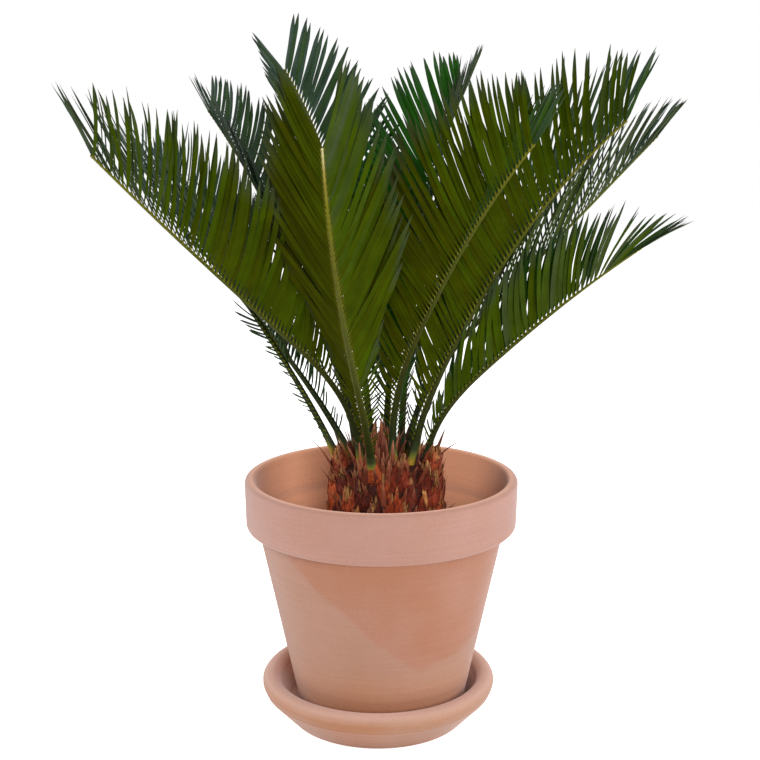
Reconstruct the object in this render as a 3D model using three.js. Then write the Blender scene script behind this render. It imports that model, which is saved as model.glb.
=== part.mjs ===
import * as THREE from 'three';

// A young sago palm in a clay pot that stands on its saucer.
// Millimetres, +Z up, origin under the middle of the saucer, front along -Y.

// Driving dimensions of the saucer.
const SAUCER_FOOT_RADIUS = 89.6;
const SAUCER_FLOOR_TOP = 12;
const SAUCER_FLOOR_RADIUS = 86;
const SAUCER_FLOOR_ROUND = 3;
const SAUCER_WALL_RADIUS = 114.5;
const SAUCER_LIP_UNDERSIDE = 27.5;
const SAUCER_LIP_ROLL = 8.9;
const SAUCER_RADIUS = 117.7;

// Driving dimensions of the pot. It stands a little off the saucer's middle.
const POT_SHIFT_X = 3;
const POT_FOOT_RADIUS = 82.9;
const POT_FOOT_ROUND = 2;
const POT_TOP = 248.7;
const POT_RIM_RADIUS = 135;
const POT_LIP_ROUND = 4.4;
const POT_LIP_INNER_ROUND = 3;
const BAND_BOTTOM = 199.2;
const BAND_BOTTOM_RADIUS = 134;
const BAND_ROUND = 4.5;
const BODY_TOP_RADIUS = 122.3;
const POT_WALL = 10;
const POT_FLOOR = 12;
const BAND_INSIDE_RADIUS = 121;
const BAND_INSIDE_BOTTOM = 206;
const BODY_INSIDE_TOP = 192;

// Driving dimensions of the soil, the trunk and the bud in its crown.
const SOIL_CLEARANCE = 0.4;
const SOIL_EDGE = 156;
const SOIL_TOP = 160;
const SOIL_FLAT_RADIUS = 64;
const TRUNK_SHIFT_X = 5;
const TRUNK_TOP = 262;
const TRUNK_FOOT_RADIUS = 52;
const TRUNK_BELLY = 5;
const TRUNK_CROWN_RADIUS = 54;
const SCALE_ROWS = 7;
const SCALES_AROUND = 14;
const SCALE_RELIEF = 4.5;
const SCALE_ROOT_RELIEF = 1.5;
const SCALE_TIP_DROP = 2;
const BUD_RADIUS = 15;
const BUD_HEIGHT = 46;
const BUD_SCALES = 5;
const BUD_RINGS = 6;
const BUD_GROOVE = 0.74;
const BUD_TWIST = 70;
const BUD_POINT = 2;
const ROUND_STEPS = 56;

// Driving dimensions that all fronds share. A pair of leaflets stands on each step of the rib.
const FROND_CLEARANCE = 0.3;
const PETIOLE_WIDTH = 8.5;
const PETIOLE_FLARE = 0.35;
const PETIOLE_FLARE_SHARE = 0.08;
const RIB_TIP_WIDTH = 1.8;
const RIB_HEIGHT_SHARE = 0.85;
const RIB_STEPS = 120;
const BARE_SHARE = 0.15;
const BEND_SHARE = 0.42;
const LEAFLET_STEP = 13.5;
const LEAFLET_THICKNESS = 1.35;
const LEAFLET_FILL = 0.74;
const LEAFLET_RISE_LOW = 10;
const LEAFLET_RISE = 52;
const LEAFLET_ANGLE_LOW = 74;
const LEAFLET_FORWARD_BEND = 9;
const LEAFLET_SHORTEST = 0.12;
const LEAFLET_ANGLE_SPREAD = 3;
const LEAFLET_RISE_SPREAD = 4;
const LEAFLET_LENGTH_SPREAD = 0.08;
const LEAFLET_TIP_RADIUS = 0.5;
const LEAFLET_GAP = 0.6;
const LEAFLET_TRIES = [1, 0.72, 0.45];

// Each row holds a frond's name, its compass angle about the trunk (0 is +X, 90 the back), the radius
// of its foot, its length, its lean from upright at the foot, the bend above the foot, the droop
// toward the tip, the swing sideways, the turn of its blade about the rib, the length of its longest
// leaflet, and the angle and the share of that length that the leaflets at its tip have.
const FRONDS = [
  ['frond_front', -101, 43, 374, 27, 18, -31, 0, 15, 116, 37, 1],
  ['frond_front_left', -134, 28, 436, 1, 51, -4, -1, 0, 116, 42, 0.6],
  ['frond_front_right', -64, 28, 395, -14, 50, 14, 8, 0, 124, 44, 0.5],
  ['frond_right_front', -34, 33, 403, 12, 15, 24, 0, 0, 126, 44, 0.5],
  ['frond_right_low', -16, 45, 305, 3, 42, 10, 0, 0, 92, 24, 0.6],
  ['frond_right', 20, 29, 426, -2, 49, 1, 0, 0, 112, 34, 0.5],
  ['frond_rear_right', 52, 31, 380, 5, 0, 32, -3, 0, 108, 36, 0.5],
  ['frond_rear', 111, 23, 408, 17, -8, 28, 38, 0, 98, 36, 0.6],
  ['frond_rear_left', 136, 33, 410, 9, 21, 17, 2, 0, 86, 42, 0.5],
  ['frond_left_rear', 160, 30, 375, 28, 12, 13, -8, 0, 100, 42, 0.5],
  ['frond_left', 174, 42, 375, 24, 8, 24, -34, 0, 96, 42, 0.5],
  ['frond_back_low', 84, 43, 340, 18, 24, 24, 0, 0, 96, 42, 0.5],
  ['frond_back_right_low', 42, 45, 290, 12, 22, 24, 0, 0, 90, 42, 0.5],
  ['frond_back_left_low', 116, 44, 310, 18, 24, 24, 0, 0, 90, 42, 0.5],
].map(([name, azimuth, foot, length, lean, kick, droop, swing, roll, leaflet, tipAngle, tipShare]) => ({
  name, azimuth, foot, length, lean, kick, droop, swing, roll, leaflet, tipAngle, tipShare,
}));

const clay = new THREE.MeshStandardMaterial({ color: 0xd9a283, roughness: 0.85, metalness: 0 });
const saucerClay = new THREE.MeshStandardMaterial({ color: 0xd39a78, roughness: 0.85, metalness: 0 });
const pottingSoil = new THREE.MeshStandardMaterial({ color: 0x3a2a20, roughness: 1, metalness: 0 });
const bark = new THREE.MeshStandardMaterial({ color: 0x7a4526, roughness: 0.9, metalness: 0 });
const budWool = new THREE.MeshStandardMaterial({ color: 0x8a4a28, roughness: 0.9, metalness: 0 });
const leafGreen = new THREE.MeshStandardMaterial({ color: 0x2f4a1c, roughness: 0.55, metalness: 0 });

const { clamp, degToRad: radians, lerp: mix, smoothstep } = THREE.MathUtils;

// Points of a round edge about a centre, between two angles in degrees.
function arcPoints(centreRadius, centreHeight, radius, fromAngle, toAngle, steps) {
  const points = [];
  for (let i = 0; i <= steps; i += 1) {
    const angle = radians(mix(fromAngle, toAngle, i / steps));
    const outward = centreRadius + radius * Math.cos(angle);
    const height = centreHeight + radius * Math.sin(angle);
    points.push(new THREE.Vector2(outward, height));
  }
  return points;
}

// A closed body turned about the upright axis.
function turned(name, profile, material) {
  const geometry = new THREE.LatheGeometry(profile, ROUND_STEPS);
  geometry.rotateX(Math.PI / 2);
  const mesh = new THREE.Mesh(geometry, material);
  mesh.name = name;
  return mesh;
}

// A body from a list of corners and a list of triangles between them.
function faceted(name, corners, triangles, material) {
  const positions = corners.flatMap((corner) => corner.toArray());
  const geometry = new THREE.BufferGeometry();
  geometry.setAttribute('position', new THREE.Float32BufferAttribute(positions, 3));
  geometry.setIndex(triangles.flat());
  geometry.computeVertexNormals();
  const mesh = new THREE.Mesh(geometry, material);
  mesh.name = name;
  return mesh;
}

// A closed body through rings of equally many corners, from the lowest ring to the highest.
function stacked(name, rings, bottomPoint, topPoint, material) {
  const corners = rings.flat();
  const triangles = [];
  const size = rings[0].length;
  const bottom = corners.push(bottomPoint) - 1;
  const top = corners.push(topPoint) - 1;
  const last = (rings.length - 1) * size;
  for (let i = 0; i < size; i += 1) {
    const next = (i + 1) % size;
    for (let ring = 0; ring < last; ring += size) {
      triangles.push([ring + i, ring + next, ring + next + size]);
      triangles.push([ring + i, ring + next + size, ring + i + size]);
    }
    triangles.push([bottom, next, i], [top, last + i, last + next]);
  }
  return faceted(name, corners, triangles, material);
}

// A ring of corners about the upright axis. The radius at each corner comes from its number.
function ringOf(size, height, turn, radiusAt) {
  return Array.from({ length: size }, (_, i) => {
    const angle = (i / size) * 2 * Math.PI + turn;
    return new THREE.Vector3(radiusAt(i) * Math.cos(angle), radiusAt(i) * Math.sin(angle), height);
  });
}

function makeSaucer() {
  const lipRadius = SAUCER_RADIUS - SAUCER_LIP_ROLL;
  const lipHeight = SAUCER_LIP_UNDERSIDE + SAUCER_LIP_ROLL;
  const profile = [
    new THREE.Vector2(0, 0),
    new THREE.Vector2(SAUCER_FOOT_RADIUS, 0),
    new THREE.Vector2(SAUCER_WALL_RADIUS, SAUCER_LIP_UNDERSIDE),
    ...arcPoints(lipRadius, lipHeight, SAUCER_LIP_ROLL, -20, 190, 6),
    new THREE.Vector2(SAUCER_FLOOR_RADIUS + SAUCER_FLOOR_ROUND, SAUCER_FLOOR_TOP + SAUCER_FLOOR_ROUND),
    new THREE.Vector2(SAUCER_FLOOR_RADIUS, SAUCER_FLOOR_TOP),
    new THREE.Vector2(0, SAUCER_FLOOR_TOP),
  ];
  return turned('saucer', profile, saucerClay);
}

// Radius of the pot's inner wall at a height between its floor and the band.
const potFloorTop = SAUCER_FLOOR_TOP + POT_FLOOR;
function potInside(height) {
  const share = (height - potFloorTop) / (BODY_INSIDE_TOP - potFloorTop);
  return mix(POT_FOOT_RADIUS, BODY_TOP_RADIUS, share) - POT_WALL;
}

function makePot() {
  const innerRim = POT_RIM_RADIUS - POT_WALL + POT_LIP_INNER_ROUND;
  const profile = [
    new THREE.Vector2(0, SAUCER_FLOOR_TOP),
    new THREE.Vector2(POT_FOOT_RADIUS - POT_FOOT_ROUND, SAUCER_FLOOR_TOP),
    new THREE.Vector2(POT_FOOT_RADIUS, SAUCER_FLOOR_TOP + POT_FOOT_ROUND),
    new THREE.Vector2(BODY_TOP_RADIUS, BAND_BOTTOM),
    ...arcPoints(BAND_BOTTOM_RADIUS - BAND_ROUND, BAND_BOTTOM + BAND_ROUND, BAND_ROUND, -90, 0, 2),
    ...arcPoints(POT_RIM_RADIUS - POT_LIP_ROUND, POT_TOP - POT_LIP_ROUND, POT_LIP_ROUND, 0, 90, 3),
    ...arcPoints(innerRim, POT_TOP - POT_LIP_INNER_ROUND, POT_LIP_INNER_ROUND, 90, 180, 2),
    new THREE.Vector2(BAND_INSIDE_RADIUS, BAND_INSIDE_BOTTOM),
    new THREE.Vector2(potInside(BODY_INSIDE_TOP), BODY_INSIDE_TOP),
    new THREE.Vector2(potInside(potFloorTop), potFloorTop),
    new THREE.Vector2(0, potFloorTop),
  ];
  return turned('pot', profile, clay);
}

function makeSoil() {
  const profile = [
    new THREE.Vector2(0, potFloorTop),
    new THREE.Vector2(potInside(potFloorTop) - SOIL_CLEARANCE, potFloorTop),
    new THREE.Vector2(potInside(SOIL_EDGE) - SOIL_CLEARANCE, SOIL_EDGE),
    new THREE.Vector2(SOIL_FLAT_RADIUS, SOIL_TOP),
    new THREE.Vector2(0, SOIL_TOP),
  ];
  return turned('soil', profile, pottingSoil);
}

// The trunk is a short barrel in rows of scales. Each scale rises outward to its tip and steps back
// in under the next row, and every second row is turned by one scale.
function makeTrunk() {
  const size = SCALES_AROUND * 2;
  const rings = [];
  for (let row = 0; row <= SCALE_ROWS; row += 1) {
    const share = row / SCALE_ROWS;
    const height = mix(SOIL_TOP, TRUNK_TOP, share);
    const taper = mix(TRUNK_FOOT_RADIUS, TRUNK_CROWN_RADIUS, share);
    const radius = taper + TRUNK_BELLY * Math.sin(Math.PI * share);
    const isEnd = row === 0 || row === SCALE_ROWS;
    const isTip = (i) => (i + row) % 2 === 0;
    if (!isEnd) {
      const tipRadius = (i) => radius + (isTip(i) ? SCALE_RELIEF : 0);
      rings.push(ringOf(size, height - SCALE_TIP_DROP, 0, tipRadius));
    }
    const rootRadius = (i) => radius - (isTip(i) || isEnd ? 0 : SCALE_ROOT_RELIEF);
    rings.push(ringOf(size, height, 0, rootRadius));
  }
  const foot = new THREE.Vector3(0, 0, SOIL_TOP);
  const crown = new THREE.Vector3(0, 0, TRUNK_TOP);
  const trunk = stacked('trunk', rings, foot, crown, bark);
  trunk.position.x = TRUNK_SHIFT_X;
  return trunk;
}

// The bud is a bundle of pointed scales that twist round each other to one tip.
function makeBud() {
  const rings = [];
  for (let ring = 0; ring < BUD_RINGS; ring += 1) {
    const share = ring / BUD_RINGS;
    const radius = BUD_RADIUS * Math.cos(share * Math.PI / 2) ** 0.8;
    const ridged = (i) => radius * (i % 2 === 0 ? 1 : BUD_GROOVE);
    rings.push(ringOf(BUD_SCALES * 2, TRUNK_TOP + share * BUD_HEIGHT, radians(BUD_TWIST * share), ridged));
  }
  const foot = new THREE.Vector3(0, 0, TRUNK_TOP);
  const tip = new THREE.Vector3(0, 0, TRUNK_TOP + BUD_HEIGHT);
  return stacked('bud', rings, foot, tip, budWool);
}

// The middle line of a frond's rib, with the blade's directions at each share of its length.
function ribFrames(frond, shares) {
  const azimuth = (share) => radians(frond.azimuth + frond.swing * share);
  const lean = (share) => {
    const bent = Math.min(1, share / BEND_SHARE);
    return radians(frond.lean + frond.kick * (1 - (1 - bent) ** 2) + frond.droop * share * share);
  };
  const direction = (share) => new THREE.Vector3(
    Math.sin(lean(share)) * Math.cos(azimuth(share)),
    Math.sin(lean(share)) * Math.sin(azimuth(share)),
    Math.cos(lean(share)),
  );
  const point = new THREE.Vector3(frond.foot, 0, TRUNK_TOP + FROND_CLEARANCE);
  point.applyAxisAngle(new THREE.Vector3(0, 0, 1), azimuth(0));
  const points = [point.clone()];
  for (let i = 0; i < RIB_STEPS; i += 1) {
    point.addScaledVector(direction((i + 0.5) / RIB_STEPS), frond.length / RIB_STEPS);
    points.push(point.clone());
  }
  return shares.map((share) => {
    const place = share * RIB_STEPS;
    const low = Math.min(RIB_STEPS - 1, Math.floor(place));
    const origin = points[low].clone().lerp(points[low + 1], place - low);
    const tangent = direction(share);
    const side = new THREE.Vector3(-Math.sin(azimuth(share)), Math.cos(azimuth(share)), 0);
    side.applyAxisAngle(tangent, radians(frond.roll * share));
    const up = tangent.clone().cross(side).normalize();
    return { share, origin, tangent, side, up };
  });
}

// Shares of a frond's length at which its rib has a ring: two on the bare stalk, then one a leaflet.
function ribShares(frond) {
  const pairs = Math.round(frond.length * (1 - BARE_SHARE) / LEAFLET_STEP);
  const shares = [0, BARE_SHARE / 3, BARE_SHARE * 2 / 3];
  for (let i = 0; i <= pairs; i += 1) {
    shares.push(mix(BARE_SHARE, 1, i / pairs));
  }
  return shares;
}

// Half width of the rib at a share of its length. It flares where it stands on the trunk.
function ribHalfWidth(share) {
  const flare = 1 + PETIOLE_FLARE * Math.max(0, 1 - share / PETIOLE_FLARE_SHARE);
  return mix(PETIOLE_WIDTH * flare, RIB_TIP_WIDTH, share ** 0.75) / 2;
}

// Length of a leaflet by its place on the leafy part of the rib.
function leafletLength(frond, place) {
  const growth = mix(LEAFLET_SHORTEST, 1, smoothstep(place, -0.04, 0.36));
  const fall = Math.max(0, (place - 0.55) / 0.45);
  return frond.leaflet * growth * (1 - (1 - frond.tipShare) * fall * fall);
}

// A repeatable number between -0.5 and 0.5 for a frond's side and a leaflet.
function wobbleOf(a, b) {
  const value = Math.sin(a * 127.1 + b * 311.7) * 43758.5453;
  return value - Math.floor(value) - 0.5;
}

// The root, middle and tip of a leaflet on one side of the rib, with the directions of its blade.
// The two rows of a frond rise into a V over the rib, and each leaflet bends toward the frond's tip.
function leafletLine(frond, index, frame, handed, step, scale) {
  const place = (frame.share - BARE_SHARE) / (1 - BARE_SHARE);
  const wobble = wobbleOf(frond.azimuth * handed, index);
  const angle = radians(mix(LEAFLET_ANGLE_LOW, frond.tipAngle, place) + LEAFLET_ANGLE_SPREAD * wobble);
  const raised = mix(LEAFLET_RISE_LOW, LEAFLET_RISE, smoothstep(place, 0.12, 0.6));
  const rise = radians(raised + LEAFLET_RISE_SPREAD * wobble);
  const across = frame.side.clone().multiplyScalar(handed * Math.cos(rise));
  across.addScaledVector(frame.up, Math.sin(rise));
  const aim = (bend) => across.clone().multiplyScalar(Math.sin(angle - bend))
    .addScaledVector(frame.tangent, Math.cos(angle - bend));
  const first = aim(0);
  const half = 0.5 * leafletLength(frond, place) * scale * (1 + LEAFLET_LENGTH_SPREAD * wobble);
  const root = frame.origin.clone().addScaledVector(frame.side, handed * ribHalfWidth(frame.share));
  const middle = root.clone().addScaledVector(first, half);
  const tip = middle.clone().addScaledVector(aim(radians(LEAFLET_FORWARD_BEND)), half);
  const width = frame.tangent.clone().addScaledVector(first, -frame.tangent.dot(first)).normalize();
  const normal = first.clone().cross(width).multiplyScalar(-handed);
  const halfWidth = 0.5 * LEAFLET_FILL * step * Math.sin(angle);
  return { root, middle, tip, width, normal, halfWidth };
}

// The two round bars that a leaflet fits in, each with a radius at either end.
function leafletBars(line, step) {
  return [
    { from: line.root, to: line.middle, fromRadius: 0.56 * step, toRadius: line.halfWidth },
    { from: line.middle, to: line.tip, fromRadius: line.halfWidth, toRadius: LEAFLET_TIP_RADIUS },
  ];
}

// True where two bars come nearer to each other than the leaflets' gap.
function barsMeet(one, two) {
  const along1 = one.to.clone().sub(one.from);
  const along2 = two.to.clone().sub(two.from);
  const apart = one.from.clone().sub(two.from);
  const square1 = along1.lengthSq();
  const square2 = along2.lengthSq();
  const cross = along1.dot(along2);
  const spread = square1 * square2 - cross * cross;
  const crossing = spread > 1e-9 ? (cross * along2.dot(apart) - along1.dot(apart) * square2) / spread : 0;
  const start = clamp(crossing, 0, 1);
  const share2 = clamp((cross * start + along2.dot(apart)) / square2, 0, 1);
  const share1 = clamp((cross * share2 - along1.dot(apart)) / square1, 0, 1);
  const near1 = one.from.clone().addScaledVector(along1, share1);
  const near2 = two.from.clone().addScaledVector(along2, share2);
  const radii = mix(one.fromRadius, one.toRadius, share1) + mix(two.fromRadius, two.toRadius, share2);
  return near1.distanceTo(near2) < radii + LEAFLET_GAP;
}

// Bars round the bud and every rib, which the leaflets of the other fronds keep clear of.
const taken = [
  {
    owner: 'bud',
    from: new THREE.Vector3(0, 0, TRUNK_TOP),
    to: new THREE.Vector3(0, 0, TRUNK_TOP + BUD_HEIGHT),
    fromRadius: BUD_RADIUS,
    toRadius: BUD_POINT,
  },
];
for (const frond of FRONDS) {
  const frames = ribFrames(frond, ribShares(frond));
  const cornerRadius = (share) => ribHalfWidth(share) * Math.hypot(1, RIB_HEIGHT_SHARE);
  for (let i = 0; i + 1 < frames.length; i += 1) {
    taken.push({
      owner: frond.name,
      from: frames[i].origin,
      to: frames[i + 1].origin,
      fromRadius: cornerRadius(frames[i].share),
      toRadius: cornerRadius(frames[i + 1].share),
    });
  }
}

// A leaflet that would touch another frond is tried shorter, and is then left out.
function freeLeaflet(frond, index, frame, handed, step) {
  for (const scale of LEAFLET_TRIES) {
    const line = leafletLine(frond, index, frame, handed, step, scale);
    const bars = leafletBars(line, step);
    const others = taken.filter((bar) => bar.owner !== frond.name);
    if (!others.some((other) => bars.some((bar) => barsMeet(bar, other)))) {
      taken.push(...bars.map((bar) => ({ ...bar, owner: frond.name })));
      return line;
    }
  }
  return null;
}

// A frond is one closed body: a four-sided rib with a flat pointed leaflet on each side of each step.
// The rib's corners in a ring are right top, right bottom, left bottom and left top.
const RING_SIGNS = [[1, 1], [1, -1], [-1, -1], [-1, 1]];
function makeFrond(frond) {
  const frames = ribFrames(frond, ribShares(frond));
  const corners = [];
  const triangles = [];
  const quad = (a, b, c, d) => triangles.push([a, b, c], [a, c, d]);
  for (const frame of frames) {
    const half = ribHalfWidth(frame.share);
    for (const [sideways, upward] of RING_SIGNS) {
      const corner = frame.origin.clone();
      corner.addScaledVector(frame.side, sideways * half);
      corner.addScaledVector(frame.up, upward * half * RIB_HEIGHT_SHARE);
      if (frame.share === 0) {
        corner.addScaledVector(frame.tangent, (frame.origin.z - corner.z) / frame.tangent.z);
      }
      corners.push(corner);
    }
  }
  // A side of the rib between two rings is closed by a plain face, or by a leaflet that grows from it.
  // The folds of a left leaflet mirror those of a right one.
  const closeSide = (foot, line, handed) => {
    if (!line) {
      quad(...foot);
      return;
    }
    const first = corners.length;
    for (const [along, upward] of [[-1, 1], [1, 1], [1, -1], [-1, -1]]) {
      const corner = line.middle.clone();
      corner.addScaledVector(line.width, along * line.halfWidth);
      corner.addScaledVector(line.normal, upward * LEAFLET_THICKNESS / 2);
      corners.push(corner);
    }
    const ring = handed > 0
      ? [first, first + 1, first + 2, first + 3]
      : [first, first + 3, first + 2, first + 1];
    const tip = corners.push(line.tip) - 1;
    for (let k = 0; k < 4; k += 1) {
      const next = (k + 1) % 4;
      const face = [foot[k], foot[next], ring[next], ring[k]];
      if (handed < 0) {
        face.push(face.shift());
      }
      quad(...face);
      triangles.push([ring[k], ring[next], tip]);
    }
  };
  for (let i = 0; i + 1 < frames.length; i += 1) {
    const low = i * 4;
    const high = low + 4;
    quad(low, low + 3, high + 3, high);
    quad(low + 2, low + 1, high + 1, high + 2);
    const share = (frames[i].share + frames[i + 1].share) / 2;
    const [middle] = ribFrames(frond, [share]);
    const step = frames[i].origin.distanceTo(frames[i + 1].origin);
    const isLeafy = share > BARE_SHARE;
    const right = isLeafy ? freeLeaflet(frond, i, middle, 1, step) : null;
    const left = isLeafy ? freeLeaflet(frond, i, middle, -1, step) : null;
    closeSide([low, high, high + 1, low + 1], right, 1);
    closeSide([low + 3, low + 2, high + 2, high + 3], left, -1);
  }
  const end = (frames.length - 1) * 4;
  quad(0, 1, 2, 3);
  quad(end + 3, end + 2, end + 1, end);
  return faceted(frond.name, corners, triangles, leafGreen);
}

const pottedPalm = new THREE.Group();
pottedPalm.add(makeSaucer());
const planted = new THREE.Group();
planted.position.x = POT_SHIFT_X;
planted.add(makePot(), makeSoil(), makeTrunk(), makeBud());
for (const frond of FRONDS) {
  planted.add(makeFrond(frond));
}
pottedPalm.add(planted);

export default pottedPalm;
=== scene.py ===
import math

import bpy
import numpy as np
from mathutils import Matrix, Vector, noise


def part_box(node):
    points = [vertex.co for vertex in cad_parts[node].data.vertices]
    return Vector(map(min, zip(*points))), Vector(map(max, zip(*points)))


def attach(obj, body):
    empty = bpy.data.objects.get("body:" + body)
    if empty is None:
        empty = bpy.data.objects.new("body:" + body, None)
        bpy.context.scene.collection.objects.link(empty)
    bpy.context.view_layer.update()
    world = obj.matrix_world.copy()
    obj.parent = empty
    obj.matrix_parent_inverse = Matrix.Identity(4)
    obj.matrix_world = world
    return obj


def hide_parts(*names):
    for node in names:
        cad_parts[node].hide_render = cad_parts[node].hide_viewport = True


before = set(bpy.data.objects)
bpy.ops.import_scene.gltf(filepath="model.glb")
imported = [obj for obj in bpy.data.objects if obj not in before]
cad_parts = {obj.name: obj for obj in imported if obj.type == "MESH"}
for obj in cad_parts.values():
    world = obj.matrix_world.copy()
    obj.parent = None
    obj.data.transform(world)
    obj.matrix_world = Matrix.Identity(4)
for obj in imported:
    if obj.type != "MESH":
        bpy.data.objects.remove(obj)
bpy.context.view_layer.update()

# Saucer.
# A dish of unglazed red earthenware that catches the drained water. It was turned on a wheel, which
# left shallow rings round its wall, and its lip was rolled over and wiped smooth.
MM = 0.001
ROUND_SIDES = 176
RING_SWAY = 0.12
RING_SWAY_HEIGHT = 17
FINE_RING_DEPTH = 0.5
FINE_RINGS_PER_RING = 2.7
SAUCER_FOOT_RADIUS = 89.6
SAUCER_FOOT_ROUND = 1.5
SAUCER_LIP_UNDERSIDE = 27.5
SAUCER_LIP_ROLL = 8.9
SAUCER_WALL_RADIUS = 114.5
SAUCER_WALL_SLOPE = (SAUCER_WALL_RADIUS - SAUCER_FOOT_RADIUS) / SAUCER_LIP_UNDERSIDE
SAUCER_FLOOR_RADIUS = 86
SAUCER_FLOOR_TOP = 12
SAUCER_FLOOR_ROUND = 6
SAUCER_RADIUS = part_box("saucer")[1].x / MM
SAUCER_RING_SPACING = 6.2
SAUCER_RING_DEPTH = 0.28
SAUCER_STEP = 1.4


def linear(colour):
    """An sRGB hex colour as the linear red, green, blue and alpha that Blender takes."""
    channels = [int(colour[i:i + 2], 16) / 255 for i in (1, 3, 5)]
    return [c / 12.92 if c <= 0.04045 else ((c + 0.055) / 1.055) ** 2.4 for c in channels] + [1]


def add(tree, kind, inputs=None, **settings):
    """Adds a node to a tree. An input is a plain value, or another node's output to link."""
    node = tree.nodes.new(kind)
    for name, value in settings.items():
        setattr(node, name, value)
    for key, value in (inputs or {}).items():
        if isinstance(value, bpy.types.NodeSocket):
            tree.links.new(value, node.inputs[key])
        else:
            node.inputs[key].default_value = value
    return node


def surface(name, roughness, gloss):
    """A new material with its tree, its shader and the place of each point on the object."""
    material = bpy.data.materials.new(name)
    material.use_nodes = True
    tree = material.node_tree
    shader = tree.nodes["Principled BSDF"]
    shader.inputs["Roughness"].default_value = roughness
    shader.inputs["Specular IOR Level"].default_value = gloss
    return material, tree, shader, add(tree, "ShaderNodeTexCoord").outputs["Object"]


def linked(name, data):
    """A new object in the scene."""
    item = bpy.data.objects.new(name, data)
    bpy.context.scene.collection.objects.link(item)
    return item


def smooth_body(name, points, faces):
    """A smoothly shaded mesh in an object of its own."""
    mesh = bpy.data.meshes.new(name)
    mesh.from_pydata([tuple(point) for point in points], [], faces)
    mesh.shade_smooth()
    return linked(name, mesh)


def tube_faces(first, end, sides, foot, tip):
    """Faces of a tube whose rings of points lie from first to end. A point closes it at each end."""
    faces = []
    for i in range(sides):
        j = (i + 1) % sides
        faces.append((foot, first + j, first + i))
        for ring in range(first, end - sides, sides):
            faces.append((ring + i, ring + j, ring + j + sides, ring + i + sides))
        faces.append((end - sides + i, end - sides + j, tip))
    return faces


def arc(radius, height, bend, start, end, steps=8):
    """Points of a round edge, as radius and height about the upright axis. Angles are in degrees."""
    angles = np.radians(np.linspace(start, end, steps))
    return [(radius + bend * math.cos(a), height + bend * math.sin(a)) for a in angles]


def stepped(profile, step):
    """The same outline with a point at least every step, so that fine rings can follow it."""
    points = [profile[0]]
    for start, end in zip(profile, profile[1:]):
        count = max(1, math.ceil(math.dist(start, end) / step))
        points += [tuple(np.add(start, np.subtract(end, start) * i / count)) for i in range(1, count + 1)]
    return points


def turned(name, profile, ring_spacing, ring_depth, centre=0.0):
    """A closed body turned about an upright axis, from an outline in millimetres that begins at the
    axis on the underside. Its walls carry the shallow rings that the potter's fingers leave."""
    turns = np.linspace(0, 2 * math.pi, ROUND_SIDES, endpoint=False)
    radii = np.array([point[0] for point in profile[1:-1]])[:, None]
    heights = np.array([point[1] for point in profile[1:-1]])[:, None]
    waves = heights / ring_spacing + RING_SWAY * np.sin(turns + heights / RING_SWAY_HEIGHT)
    rings = np.sin(2 * math.pi * waves)
    rings = rings + FINE_RING_DEPTH * np.sin(2 * math.pi * waves * FINE_RINGS_PER_RING + 1)
    slopes = np.gradient(heights[:, 0]) / np.hypot(np.gradient(radii[:, 0]), np.gradient(heights[:, 0]))
    radii = radii + ring_depth / 2 * rings * np.abs(slopes)[:, None] ** 2
    corners = np.stack([radii * np.cos(turns), radii * np.sin(turns), heights + 0 * turns], axis=2)
    points = [(0, 0, profile[0][1]), *corners.reshape(-1, 3), (0, 0, profile[-1][1])]
    top = len(points) - 1
    return smooth_body(
        name, [(centre + x * MM, y * MM, z * MM) for x, y, z in points],
        tube_faces(1, top, ROUND_SIDES, 0, top),
    )


def fired_clay(name, colours):
    """Unglazed terracotta: porous, chalky and without gloss. The wheel drags its grit into faint level
    streaks, and dust on its pores pales the surfaces that are seen aslant."""
    material, tree, shader, place = surface(name, 0.88, 0.2)
    level = add(tree, "ShaderNodeMapping", {"Vector": place, "Scale": (9, 9, 420)}).outputs[0]
    streaks = add(tree, "ShaderNodeTexNoise", {"Vector": level, "Scale": 1, "Detail": 5}).outputs[0]
    grit = add(tree, "ShaderNodeTexNoise", {"Vector": place, "Scale": 520, "Detail": 4}).outputs[0]
    drag = add(tree, "ShaderNodeMapRange", {0: streaks, 1: 0.3, 2: 0.7, 3: 0.965, 4: 1.03}).outputs[0]
    speck = add(tree, "ShaderNodeMapRange", {0: grit, 1: 0.3, 2: 0.7, 3: 0.95, 4: 1.04}).outputs[0]
    shade = add(tree, "ShaderNodeMath", {0: drag, 1: speck}, operation="MULTIPLY").outputs[0]
    colour = add(tree, "ShaderNodeHueSaturation", {
        "Value": shade, "Color": colours(tree, place),
    }).outputs[0]
    tree.links.new(colour, shader.inputs["Base Color"])
    relief = add(tree, "ShaderNodeMath", {0: streaks, 1: 0.6, 2: grit}, operation="MULTIPLY_ADD")
    bump = add(tree, "ShaderNodeBump", {
        "Strength": 0.3, "Distance": 0.5 * MM, "Height": relief.outputs[0],
    })
    tree.links.new(bump.outputs[0], shader.inputs["Normal"])
    shader.inputs["Sheen Weight"].default_value = 0.5
    shader.inputs["Sheen Roughness"].default_value = 0.45
    shader.inputs["Sheen Tint"].default_value = linear("#f4e8ea")
    return material


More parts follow.
